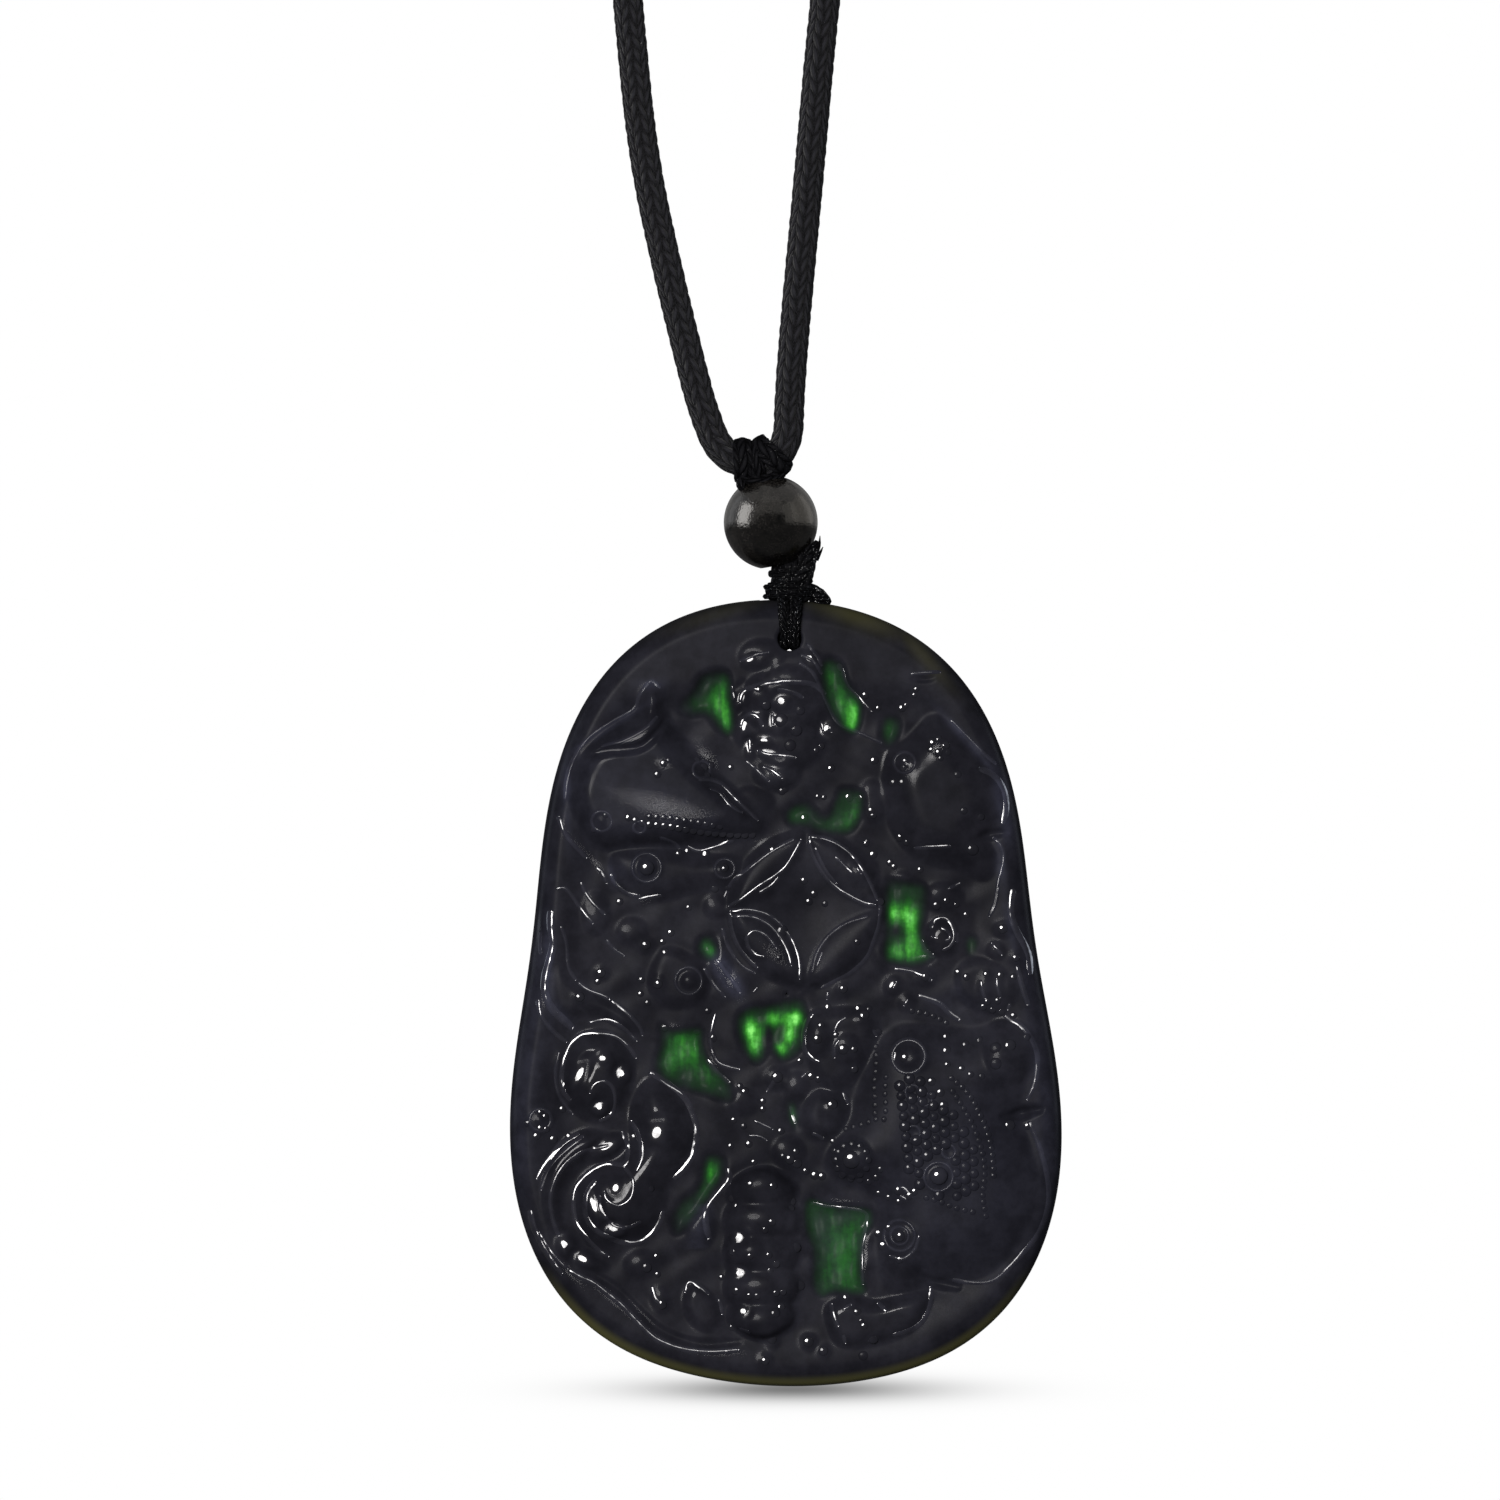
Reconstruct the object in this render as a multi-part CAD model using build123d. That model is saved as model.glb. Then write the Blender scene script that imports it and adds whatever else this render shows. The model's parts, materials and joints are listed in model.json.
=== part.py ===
from build123d import *
import math
import os

import numpy as np

os.makedirs("parts", exist_ok=True)

# Carved pendant hung on a braided neck cord. Millimetres, +Z up, front towards -Y.
# The origin is the middle of the cord at the top of its loop, where the necklace hangs.

# Neck cord, a round braid that is one closed loop
neck_cord_diameter = 2.3
# Centre line of the loop, clockwise from the foot of its bend, seen from the front: x and z
neck_route = [
    (-2.9, -284.1), (-5.1, -283.0), (-6.3, -279.9), (-7.1, -277.0), (-9.0, -269.3), (-10.9, -260.5),
    (-11.95, -250.0), (-13.3, -234.0), (-15.4, -205.0), (-19.8, -155.0), (-23.7, -100.0),
    (-26.3, -50.0), (-27.3, -22.0), (-21.0, -8.2), (-7.8, 0.0), (7.8, 0.0), (21.0, -8.2),
    (27.5, -22.0), (25.6, -50.0), (21.0, -100.0), (14.8, -155.0), (8.3, -205.0), (4.6, -234.0),
    (2.75, -250.5), (1.75, -262.0), (0.75, -272.5), (0.25, -279.0), (0.2, -282.2), (-1.0, -283.75),
]
arc_share = 0.45  # share of the shorter run beside a corner that its arc takes up

# Thin braid that ties the pieces together
thin_cord_diameter = 1.3
loop_strand_diameter = 0.95
thread_diameter = 1.0
seat_gap = 0.1  # clearance between pieces that bear on each other
wrap_gap = 0.15  # clearance of a wrap round the neck cord, a little more than seat_gap

# Bead
bead_diameter = 7.16
bead_tilt = 10.0  # degrees, its bore leans to the left at the top
bore_diameter = 1.6
bore_mouth_diameter = 3.0
bend_nesting = 0.18  # how far the neck cord's bend sinks into the bead's dished mouth

# Top knot: two wraps round the bend of the neck cord, drawn together above the bead
left_wrap_share = 0.4  # place of each wrap on the slanting run beside the foot of the bend
right_wrap_share = 0.55
throat_strand_diameter = 1.0
throat_ring_diameter = 2.6
throat_lean = 40.0  # degrees round the wrap, from its lowest place, where a throat strand starts

# Lower knot: a wound sleeve with two cut ends
lower_knot_shift = 0.18  # to the right of the plaque's hole
lower_knot_height = 2.0
knot_neck_diameter = 3.3
knot_foot_diameter = 4.0
knot_wraps = 3
wrap_fullness = 0.55  # radius of a wrap as a share of its height, over a half so that wraps merge
tail_length = 2.95
tail_lean = 24.0  # degrees from upright, to the right
tail_forward = 0.9
tail_shift = 1.05
tail_tip_diameter = 0.3
stub_length = 1.7
stub_diameter = 0.9
stub_lean = 25.0  # degrees below level

# Two strands from the lower knot over the plaque's top edge and through its hole
strand_start_drop = 0.2  # below the plaque's top
strand_start_reach = 1.0  # how far in from the strand's upright stretch it leaves the knot
strand_shoulder_drop = 1.5
strand_rise_in_hole = 0.3

# Plaque
plaque_width = 42.0
plaque_height = 60.2
# Its outline is an ellipse whose reach is changed by waves round it: turns and share
outline_waves = [(0, 0.0212), (1, -0.0060), (2, -0.0185), (4, -0.0522), (6, -0.0080)]
outline_sine_waves = [(1, -0.0344), (2, -0.0082), (3, -0.0466), (5, -0.0113)]
rim_round = 2.0
rim_level = 2.0
back_level = 2.6
back_edge_round = 1.1
back_edge_steps = (0.45, 1.0)  # shares of the back's level where its rounded edge has a ring of corners
ground_level = 1.5
ground_edge = 3.0
crown_v = 0.80  # share of half the height above which the front stays smooth
window_floor = 0.2
hole_diameter = 2.5
hole_below_top = 3.2
hole_x = 0.27
columns = 50
rows = 70
edge_crowding = 0.14  # how much closer the facets stand near the edge

# Heights of the carved forms above the middle plane of the plaque
toad_level = 4.6
cloud_level = 3.8
coin_level = 3.0
petal_level = 3.9
column_level = 4.0
small_form_level = 3.4
shoulder = 2.6  # width over which a body rounds off at its edge

half_width = plaque_width / 2
half_height = plaque_height / 2
bead_radius = bead_diameter / 2
bend_foot_x = (neck_route[0][0] + neck_route[-1][0]) / 2
bend_foot_z = (neck_route[0][1] + neck_route[-1][1]) / 2
bead_drop = neck_cord_diameter / 2 + bead_radius - bend_nesting
bead_x = bend_foot_x + bead_drop * math.sin(math.radians(bead_tilt))
bead_z = bend_foot_z - bead_drop * math.cos(math.radians(bead_tilt))
knot_top_z = bead_z - bead_radius - seat_gap
plaque_top_z = knot_top_z - lower_knot_height - seat_gap
plaque_middle_z = plaque_top_z - half_height
hole_z = plaque_top_z - hole_below_top
lower_knot_x = hole_x + lower_knot_shift


def outline_reach(angle):
    """Reach of the outline at an angle, as a share of the plain ellipse."""
    reach = 1.0 + sum(share * np.cos(turns * angle) for turns, share in outline_waves)
    return reach + sum(share * np.sin(turns * angle) for turns, share in outline_sine_waves)


def soft_step(value):
    """Smooth rise from 0 to 1 as the value goes from 0 to 1."""
    value = np.clip(value, 0.0, 1.0)
    return value * value * (3.0 - 2.0 * value)


def distance_to_line(points, x, z):
    """Distance from each place to the nearest part of a line through the points."""
    best = np.full_like(x, np.inf)
    for (x0, z0), (x1, z1) in zip(points[:-1], points[1:]):
        along_x = x1 - x0
        along_z = z1 - z0
        share = ((x - x0) * along_x + (z - z0) * along_z) / (along_x**2 + along_z**2)
        share = np.clip(share, 0.0, 1.0)
        distance = np.hypot(x - x0 - share * along_x, z - z0 - share * along_z)
        best = np.minimum(best, distance)
    return best


def inside(points, x, z):
    """Whether each place lies inside the closed outline through the points."""
    crossings = np.zeros_like(x, dtype=bool)
    for (x0, z0), (x1, z1) in zip(points, points[1:] + points[:1]):
        between = (z0 > z) != (z1 > z)
        if z1 != z0:
            crossings ^= between & (x < x0 + (z - z0) * (x1 - x0) / (z1 - z0))
    return crossings


def sized(points):
    """Points given as shares of half the plaque's width and height, in millimetres."""
    return [(u * half_width, v * half_height) for u, v in points]


def pillow(level, top, shares, x, z, edge):
    """Raise a body with this outline to its top, rounded over the edge width."""
    points = sized(shares)
    depth = distance_to_line(points + points[:1], x, z)
    rise = np.sqrt(1.0 - (1.0 - np.clip(depth / edge, 0.0, 1.0))**2)
    form = ground_level + (top - ground_level) * rise
    return np.where(inside(points, x, z), np.maximum(level, form), level)


def dome(level, top, u, v, radius, x, z, stretch=1.0):
    """Raise a round lump, stretched sideways, whose middle stands at its top."""
    share = np.hypot((x - u * half_width) / stretch, z - v * half_height) / radius
    form = ground_level + (top - ground_level) * np.sqrt(np.clip(1.0 - share**2, 0.0, 1.0))
    return np.where(share < 1.0, np.maximum(level, form), level)


def ridge(level, top, points, width, x, z):
    """Raise a rounded band along a line of points."""
    distance = distance_to_line(points, x, z)
    share = np.clip(2.0 * distance / width, 0.0, 1.0)
    form = ground_level + (top - ground_level) * np.sqrt(1.0 - share**2)
    return np.where(share < 1.0, np.maximum(level, form), level)


def spiral_points(u, v, start_radius, end_radius, start_turn, turns):
    """Points of a scroll that winds outwards round a middle."""
    points = []
    for step in range(scroll_steps + 1):
        share = step / scroll_steps
        radius = start_radius + (end_radius - start_radius) * share
        angle = math.radians(start_turn) + 2.0 * math.pi * turns * share
        x = u * half_width + radius * math.cos(angle)
        z = v * half_height + radius * math.sin(angle)
        points.append((x, z))
    return points


# Outlines of the bodies, as shares of half the plaque's width and height
upper_left_toad = [
    (-0.49, 0.77), (-0.60, 0.71), (-0.73, 0.63), (-0.79, 0.54), (-0.79, 0.46), (-0.71, 0.37),
    (-0.49, 0.37), (-0.24, 0.37), (-0.09, 0.41), (-0.15, 0.48), (-0.27, 0.55), (-0.41, 0.62), (-0.44, 0.70),
]
upper_right_toad = [
    (0.50, 0.77), (0.61, 0.69), (0.74, 0.59), (0.80, 0.48), (0.79, 0.36), (0.74, 0.20),
    (0.61, 0.22), (0.43, 0.33), (0.34, 0.44), (0.36, 0.56), (0.43, 0.68),
]
lower_right_toad = [
    (0.72, -0.06), (0.86, -0.10), (0.90, -0.17), (0.86, -0.28), (0.92, -0.42), (0.92, -0.55),
    (0.82, -0.69), (0.66, -0.73), (0.50, -0.72), (0.34, -0.68), (0.30, -0.55), (0.18, -0.45),
    (0.23, -0.30), (0.31, -0.17), (0.50, -0.07),
]
toads = [upper_left_toad, upper_right_toad, lower_right_toad]
toad_foot = [(0.52, -0.73), (0.43, -0.83), (0.25, -0.86)]
toad_foot_width = 2.6
left_ribbon = [(-0.85, 0.20), (-0.87, 0.05), (-0.85, -0.02), (-0.78, -0.08), (-0.66, -0.10)]
left_ribbon_width = 1.9
lower_band = [(-0.88, -0.58), (-0.80, -0.72), (-0.58, -0.80), (-0.44, -0.89), (-0.20, -0.92)]
lower_band_width = 1.6

# Round lumps: middle u and v, radius as a share of half the width, sideways stretch,
# how far up to the small forms' level
lumps = [
    (-0.41, 0.26, 0.138, 1.6, 1.00),
    (-0.68, 0.19, 0.090, 1.0, 0.70),
    (-0.35, 0.03, 0.105, 1.0, 0.85),
    (-0.56, 0.02, 0.124, 1.2, 0.75),
    (0.42, 0.00, 0.105, 2.4, 0.85),
    (0.57, 0.15, 0.095, 1.0, 0.90),
    (0.76, 0.03, 0.114, 1.0, 0.80),
    (0.11, -0.19, 0.114, 1.0, 0.75),
    (0.20, -0.37, 0.095, 1.2, 1.00),
    (-0.30, -0.80, 0.095, 1.3, 0.70),
    (0.18, -0.80, 0.105, 1.2, 0.70),
]

# Cloud scroll in the lower left: middle u and v, radius as a share of half the width,
# start of the scroll in degrees, turns
cloud_lobes = [
    (-0.61, -0.50, 0.190, 20.0, -1.6),
    (-0.47, -0.34, 0.162, 200.0, -1.2),
    (-0.66, -0.20, 0.152, 270.0, 1.2),
]
scroll_width = 1.2
scroll_rise = 0.6
scroll_steps = 24

# Coin with four petals, and a round cup
coin_u = 0.055
coin_v = 0.215
coin_radius = 6.7
petal_width = 3.4
petal_rim = 1.3
petal_turns = (45.0, 135.0, 225.0, 315.0)
cup_u = -0.085
cup_v = -0.095
cup_radius = 3.8
cup_rim = 1.5

# Ribbed posts, the column and the small figure: middle u, top and foot v, width, ribs
posts = [
    (-0.085, -0.43, -0.86, 6.2, 6),
    (0.005, 0.85, 0.52, 5.6, 3),
]
rib_waist = 0.15  # share of a post's width that the groove between two ribs takes
rib_groove = 0.3  # share of its height that the groove takes

# Thin places where the stone lets light through: left, right, foot and top as shares
windows = [
    (-0.31, -0.20, 0.66, 0.80),
    (0.15, 0.27, 0.68, 0.82),
    (0.02, 0.27, 0.41, 0.51),
    (0.36, 0.50, 0.08, 0.26),
    (-0.17, 0.06, -0.15, -0.05),
    (-0.44, -0.30, -0.25, -0.09),
    (-0.31, -0.23, -0.52, -0.41),
    (0.08, 0.29, -0.76, -0.52),
]


def petal(level, turn, x, z):
    """Raise the rim of an almond-shaped petal that spans a quarter of the coin about this angle."""
    out_x = math.cos(math.radians(turn))
    out_z = math.sin(math.radians(turn))
    local_x = x - coin_u * half_width
    local_z = z - coin_v * half_height
    chord = coin_radius * math.sqrt(0.5)
    along = local_z * out_x - local_x * out_z
    across = local_x * out_x + local_z * out_z - chord
    edge = petal_width / 2 * (1.0 - (along / chord)**2)
    distance = np.abs(np.abs(across) - edge)
    share = np.clip(2.0 * distance / petal_rim, 0.0, 1.0)
    form = coin_level + (petal_level - coin_level) * np.sqrt(1.0 - share**2)
    return np.where((share < 1.0) & (edge > 0.0), np.maximum(level, form), level)


def ribbed(level, top, u, top_v, foot_v, width, ribs, x, z):
    """Raise an upright ribbed post whose rings bulge."""
    share = (top_v * half_height - z) / ((top_v - foot_v) * half_height)
    bulge = np.abs(np.sin(math.pi * ribs * np.clip(share, 0.0, 1.0)))
    across = np.abs(x - u * half_width) / (width / 2 * (1.0 - rib_waist * (1.0 - bulge)))
    rise = (1.0 - rib_groove * (1.0 - bulge)) * np.sqrt(np.clip(1.0 - across**2, 0.0, 1.0))
    form = ground_level + (top - ground_level) * rise
    return np.where((share > 0.0) & (share < 1.0) & (across < 1.0), np.maximum(level, form), level)


def front_level(x, z, depth):
    """Height of the carved front over the middle plane, from place and depth inside the outline."""
    level = rim_level * np.sqrt(1.0 - (1.0 - np.clip(depth / rim_round, 0.0, 1.0))**2)
    below_crown = soft_step((crown_v * half_height - z) / ground_edge)
    level = level - (rim_level - ground_level) * soft_step((depth - rim_round) / ground_edge) * below_crown
    for u, v, radius, stretch, share in lumps:
        top = ground_level + (small_form_level - ground_level) * share
        level = dome(level, top, u, v, radius * half_width, x, z, stretch)
    from_coin = np.hypot(x - coin_u * half_width, z - coin_v * half_height)
    level = np.where(from_coin < coin_radius, np.maximum(level, coin_level), level)
    for turn in petal_turns:
        level = petal(level, turn, x, z)
    for outline in toads:
        level = pillow(level, toad_level, outline, x, z, shoulder)
    level = ridge(level, small_form_level, sized(toad_foot), toad_foot_width, x, z)
    level = ridge(level, small_form_level, sized(left_ribbon), left_ribbon_width, x, z)
    level = ridge(level, small_form_level, sized(lower_band), lower_band_width, x, z)
    for u, v, radius_share, start, turns in cloud_lobes:
        radius = radius_share * half_width
        level = dome(level, cloud_level, u, v, radius, x, z)
        scroll = spiral_points(u, v, scroll_width / 2, radius - scroll_width / 2, start, turns)
        level = ridge(level, cloud_level + scroll_rise, scroll, scroll_width, x, z)
    from_cup = np.abs(np.hypot(x - cup_u * half_width, z - cup_v * half_height) - cup_radius)
    cup_share = np.clip(2.0 * from_cup / cup_rim, 0.0, 1.0)
    cup_form = ground_level + (small_form_level - ground_level) * np.sqrt(1.0 - cup_share**2)
    level = np.where(cup_share < 1.0, np.maximum(level, cup_form), level)
    for u, top_v, foot_v, width, ribs in posts:
        level = ribbed(level, column_level, u, top_v, foot_v, width, ribs, x, z)
    for left, right, foot, top in windows:
        across = np.minimum(x - left * half_width, right * half_width - x)
        upward = np.minimum(z - foot * half_height, top * half_height - z)
        level = np.where(np.minimum(across, upward) > 0.0, np.minimum(level, window_floor), level)
    return level


def plaque_grid():
    """Places of the front's corners: a square grid pressed into the outline, closer at its edge."""
    across = np.linspace(-1.0, 1.0, columns + 1)
    upward = np.linspace(-1.0, 1.0, rows + 1)
    across = across * (1.0 + edge_crowding) - edge_crowding * across**3
    upward = upward * (1.0 + edge_crowding) - edge_crowding * upward**3
    s, t = np.meshgrid(across, upward, indexing="ij")
    disc_x = s * np.sqrt(1.0 - t**2 / 2.0)
    disc_z = t * np.sqrt(1.0 - s**2 / 2.0)
    reach = outline_reach(np.arctan2(disc_z, disc_x))
    x = disc_x * reach * half_width
    z = disc_z * reach * half_height
    share = np.hypot(disc_x, disc_z)
    depth = np.hypot(x, z) * (1.0 / np.maximum(share, 1e-6) - 1.0)
    depth = np.where(share < 1e-6, half_width, depth)
    return x, z, depth


def edge_walk():
    """Grid numbers once round the edge of the front."""
    walk = [(i, 0) for i in range(columns)]
    walk += [(columns, j) for j in range(rows)]
    walk += [(columns - i, rows) for i in range(columns)]
    walk += [(0, rows - j) for j in range(rows)]
    return walk


def facet(*corners):
    """Flat face through three or more corners."""
    return Face(Wire.make_polygon(corners))


def make_plaque():
    """The plaque: faceted carved front, rounded back edge, flat back and the hole for the cord."""
    x, z, depth = plaque_grid()
    y = -front_level(x, z, depth)
    z = z + plaque_middle_z
    corner = [
        [Vector(float(x[i, j]), float(y[i, j]), float(z[i, j])) for j in range(rows + 1)]
        for i in range(columns + 1)
    ]
    faces = []
    for i in range(columns):
        for j in range(rows):
            near, above = corner[i][j], corner[i][j + 1]
            side, far = corner[i + 1][j], corner[i + 1][j + 1]
            if abs(near.Y - far.Y) <= abs(side.Y - above.Y):
                faces.append(facet(near, side, far))
                faces.append(facet(near, far, above))
            else:
                faces.append(facet(near, side, above))
                faces.append(facet(side, far, above))
    edge = [corner[i][j] for i, j in edge_walk()]
    back_rings = [edge]
    for share in back_edge_steps:
        inset = back_edge_round * (1.0 - math.sqrt(1.0 - share**2)) / half_width
        back_rings.append([
            Vector(
                point.X * (1.0 - inset),
                back_level * share,
                plaque_middle_z + (point.Z - plaque_middle_z) * (1.0 - inset),
            )
            for point in edge
        ])
    for outer, inner in zip(back_rings[:-1], back_rings[1:]):
        for k in range(len(edge)):
            after = (k + 1) % len(edge)
            faces.append(facet(outer[k], inner[after], outer[after]))
            faces.append(facet(outer[k], inner[k], inner[after]))
    faces.append(facet(*back_rings[-1]))
    stone = Solid(Shell(faces))
    drill = Cylinder(hole_diameter / 2, 4 * toad_level, rotation=(90, 0, 0))
    return stone - Pos(hole_x, 0, hole_z) * drill


def corner_radii(before, corners, after):
    """Radius of the arc at each corner, as large as the two runs beside it allow."""
    points = [before] + corners + [after]
    radii = []
    for last, here, following in zip(points[:-2], points[1:-1], points[2:]):
        run_in = Vector(*here) - Vector(*last)
        run_out = Vector(*following) - Vector(*here)
        half_turn = math.radians(run_in.get_angle(run_out) / 2)
        radii.append(arc_share * min(run_in.length, run_out.length) / math.tan(half_turn))
    return radii


def tube(path, diameter):
    """Round tube along a path."""
    section = Plane(origin=path @ 0, z_dir=path % 0) * Circle(diameter / 2)
    return sweep(section, path=path)


def make_neck_cord(diameter):
    """The neck cord's loop: two halves that meet at the hanging point and under the bend."""
    foot = (bend_foot_x, bend_foot_z)
    top = (0.0, 0.0)
    radii = corner_radii(neck_route[-1], neck_route, neck_route[0])
    split = next(k for k, (_, z) in enumerate(neck_route) if z == 0.0) + 1
    left_path = Plane.XZ * FilletPolyline(foot, *neck_route[:split], top, radius=radii[:split])
    right_path = Plane.XZ * FilletPolyline(top, *neck_route[split:], foot, radius=radii[split:])
    cord = tube(left_path, diameter) + tube(right_path, diameter)
    return cord, left_path.length + right_path.length, radii


def bead_axis():
    """Direction of the bead's bore, upwards."""
    lean = math.radians(bead_tilt)
    return Vector(-math.sin(lean), 0, math.cos(lean))


def make_bead(diameter, drilled):
    """Round bead, drilled along its leaning axis with dished mouths."""
    middle = Pos(bead_x, 0, bead_z)
    ball = middle * Sphere(diameter / 2)
    if not drilled:
        return ball
    turn = Rot(0, -bead_tilt, 0)
    bore = Cylinder(bore_diameter / 2, 2 * diameter)
    mouth_depth = (bore_mouth_diameter - bore_diameter) / 2
    mouth_height = math.sqrt(bead_radius**2 - (bore_mouth_diameter / 2)**2)
    mouth = Cone(bore_diameter / 2, bore_mouth_diameter / 2 + mouth_depth, 2 * mouth_depth)
    upper = Pos(0, 0, mouth_height) * mouth
    lower = Rot(180, 0, 0) * upper
    return ball - middle * turn * (bore + upper + lower)


def make_rod(start, end, start_radius, end_radius):
    """Straight round rod or taper from one place to another."""
    run = end - start
    place = Plane(origin=(start + end) / 2, z_dir=run)
    if start_radius == end_radius:
        return place * Cylinder(start_radius, run.length)
    return place * Cone(start_radius, end_radius, run.length)


def wrap_plane(foot_end, far_end, share):
    """Plane of a wrap, square to a run of the neck cord, with its local x pointing down."""
    along_x = far_end[0] - foot_end[0]
    along_z = far_end[1] - foot_end[1]
    place = (foot_end[0] + share * along_x, 0, foot_end[1] + share * along_z)
    down = (along_z, 0, -along_x) if along_x > 0 else (-along_z, 0, along_x)
    return Plane(origin=place, x_dir=down, z_dir=(along_x, 0, along_z))


def make_top_knot():
    """Two wraps round the neck cord's bend, four strands and a ring that draw them to the bead."""
    wrap_radius = neck_cord_diameter / 2 + wrap_gap + thin_cord_diameter / 2
    throat_place = Vector(bead_x, 0, bead_z) + bead_axis() * (bead_radius + throat_strand_diameter / 4)
    throat = Plane(origin=throat_place, z_dir=bead_axis())
    knot = throat * Torus(throat_ring_diameter / 2, throat_strand_diameter / 2)
    lean = math.radians(throat_lean)
    strand_radius = throat_strand_diameter / 2
    for plane in (
        wrap_plane(neck_route[0], neck_route[1], left_wrap_share),
        wrap_plane(neck_route[-1], neck_route[-2], right_wrap_share),
    ):
        knot += plane * Torus(wrap_radius, thin_cord_diameter / 2)
        for side in (-1, 1):
            local_start = (wrap_radius * math.cos(lean), side * wrap_radius * math.sin(lean), 0)
            start = plane.from_local_coords(local_start)
            end = throat.origin + Vector(0, math.copysign(throat_ring_diameter / 2, start.Y), 0)
            knot += make_rod(start, end, strand_radius, strand_radius)
    cord_room, _, _ = make_neck_cord(neck_cord_diameter + 2 * seat_gap)
    return knot - cord_room - make_bead(bead_diameter + 2 * seat_gap, False)


def make_bead_thread():
    """Thread through the bead, from the top knot's ring to the lower knot."""
    axis = bead_axis()
    middle = Vector(bead_x, 0, bead_z)
    corner_drop = thread_diameter / 2 * math.sin(math.radians(bead_tilt))
    foot = middle - axis * ((bead_z - knot_top_z - seat_gap - corner_drop) / axis.Z)
    head = middle + axis * (bead_drop - neck_cord_diameter / 2 - 2 * seat_gap)
    return make_rod(foot, head, thread_diameter / 2, thread_diameter / 2)


def make_lower_knot():
    """Wound sleeve over the plaque, with a cut tail beside the bead and a stub at its foot."""
    wrap_height = lower_knot_height / knot_wraps
    wrap_radius = wrap_height * wrap_fullness
    core = knot_neck_diameter / 2 - wrap_radius * wrap_fullness
    middle_z = knot_top_z - lower_knot_height / 2
    knot = Pos(lower_knot_x, 0, middle_z) * Cylinder(core, lower_knot_height)
    for number in range(knot_wraps):
        diameter = knot_foot_diameter if number == knot_wraps - 1 else knot_neck_diameter
        z = knot_top_z - (number + 0.5) * wrap_height
        room = Pos(lower_knot_x, 0, z) * Cylinder(diameter, wrap_height)
        knot += (Pos(lower_knot_x, 0, z) * Torus(diameter / 2 - wrap_radius, wrap_radius)) & room
    tail_way = Vector(math.sin(math.radians(tail_lean)), 0, math.cos(math.radians(tail_lean)))
    tail_foot = Vector(lower_knot_x + tail_shift, -tail_forward, knot_top_z - wrap_height / 2)
    tail_tip = tail_foot + tail_way * tail_length
    knot += make_rod(tail_foot, tail_tip, thin_cord_diameter / 2, tail_tip_diameter / 2)
    stub_foot = Vector(lower_knot_x + core, 0, knot_top_z - 1.5 * wrap_height)
    stub_way = Vector(math.cos(math.radians(stub_lean)), 0, -math.sin(math.radians(stub_lean)))
    stub_tip = stub_foot + stub_way * stub_length
    knot += make_rod(stub_foot, stub_tip, stub_diameter / 2, stub_diameter / 2)
    return knot - make_bead(bead_diameter + 2 * seat_gap, False)


def make_loop_strand(side):
    """One of the two strands that go over the plaque's top edge and through its hole."""
    front = rim_level + 2 * seat_gap + loop_strand_diameter / 2
    back = back_level + 2 * seat_gap + loop_strand_diameter / 2
    top_z = plaque_top_z - strand_start_drop
    shoulder_z = plaque_top_z - strand_shoulder_drop
    level_z = hole_z + strand_rise_in_hole
    start = (strand_start_reach - front, top_z)
    corners = [(-front, shoulder_z), (-front, level_z), (back, level_z), (back, shoulder_z)]
    end = (back - strand_start_reach, top_z)
    radii = corner_radii(start, corners, end)
    path = FilletPolyline(start, *corners, end, radius=radii)
    x = hole_x + side * (loop_strand_diameter + seat_gap) / 2
    return tube(Plane.YZ.offset(x) * path, loop_strand_diameter), radii


neck_cord, neck_length, neck_radii = make_neck_cord(neck_cord_diameter)
left_strand, strand_radii = make_loop_strand(-1)
right_strand, _ = make_loop_strand(1)

parts = {
    "neck_cord": neck_cord,
    "top_knot": make_top_knot(),
    "spacer_bead": make_bead(bead_diameter, True),
    "bead_thread": make_bead_thread(),
    "lower_knot": make_lower_knot(),
    "loop_strand_left": left_strand,
    "loop_strand_right": right_strand,
    "carved_plaque": make_plaque(),
}
for name, shape in parts.items():
    export_step(shape, f"parts/{name}.step")

section_area = math.pi * (neck_cord_diameter / 2)**2
print("neck cord length", round(neck_length, 1))
print("neck cord radii", [round(radius, 1) for radius in neck_radii])
print("neck cord volume", round(neck_cord.volume, 1))
print("neck cord section times length", round(section_area * neck_length, 1))
print("loop strand radii", [round(radius, 2) for radius in strand_radii])
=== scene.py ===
import json
import math

import bpy
import numpy as np
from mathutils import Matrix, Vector

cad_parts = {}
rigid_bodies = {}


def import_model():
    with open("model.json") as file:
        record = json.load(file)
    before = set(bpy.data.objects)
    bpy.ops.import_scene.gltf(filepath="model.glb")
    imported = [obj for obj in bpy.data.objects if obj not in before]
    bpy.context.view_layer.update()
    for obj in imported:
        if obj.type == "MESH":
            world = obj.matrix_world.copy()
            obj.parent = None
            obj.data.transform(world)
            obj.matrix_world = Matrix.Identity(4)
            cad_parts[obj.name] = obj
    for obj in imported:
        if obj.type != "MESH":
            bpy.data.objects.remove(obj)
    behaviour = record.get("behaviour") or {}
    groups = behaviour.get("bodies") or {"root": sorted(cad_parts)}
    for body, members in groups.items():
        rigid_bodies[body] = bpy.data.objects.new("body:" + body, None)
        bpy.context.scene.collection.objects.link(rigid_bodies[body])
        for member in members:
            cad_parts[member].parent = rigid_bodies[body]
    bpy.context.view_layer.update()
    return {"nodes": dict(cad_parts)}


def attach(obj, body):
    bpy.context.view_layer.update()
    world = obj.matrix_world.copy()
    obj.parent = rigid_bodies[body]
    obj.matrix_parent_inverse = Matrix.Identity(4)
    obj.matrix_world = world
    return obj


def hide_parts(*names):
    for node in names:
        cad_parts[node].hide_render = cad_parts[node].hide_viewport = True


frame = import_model()
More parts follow.
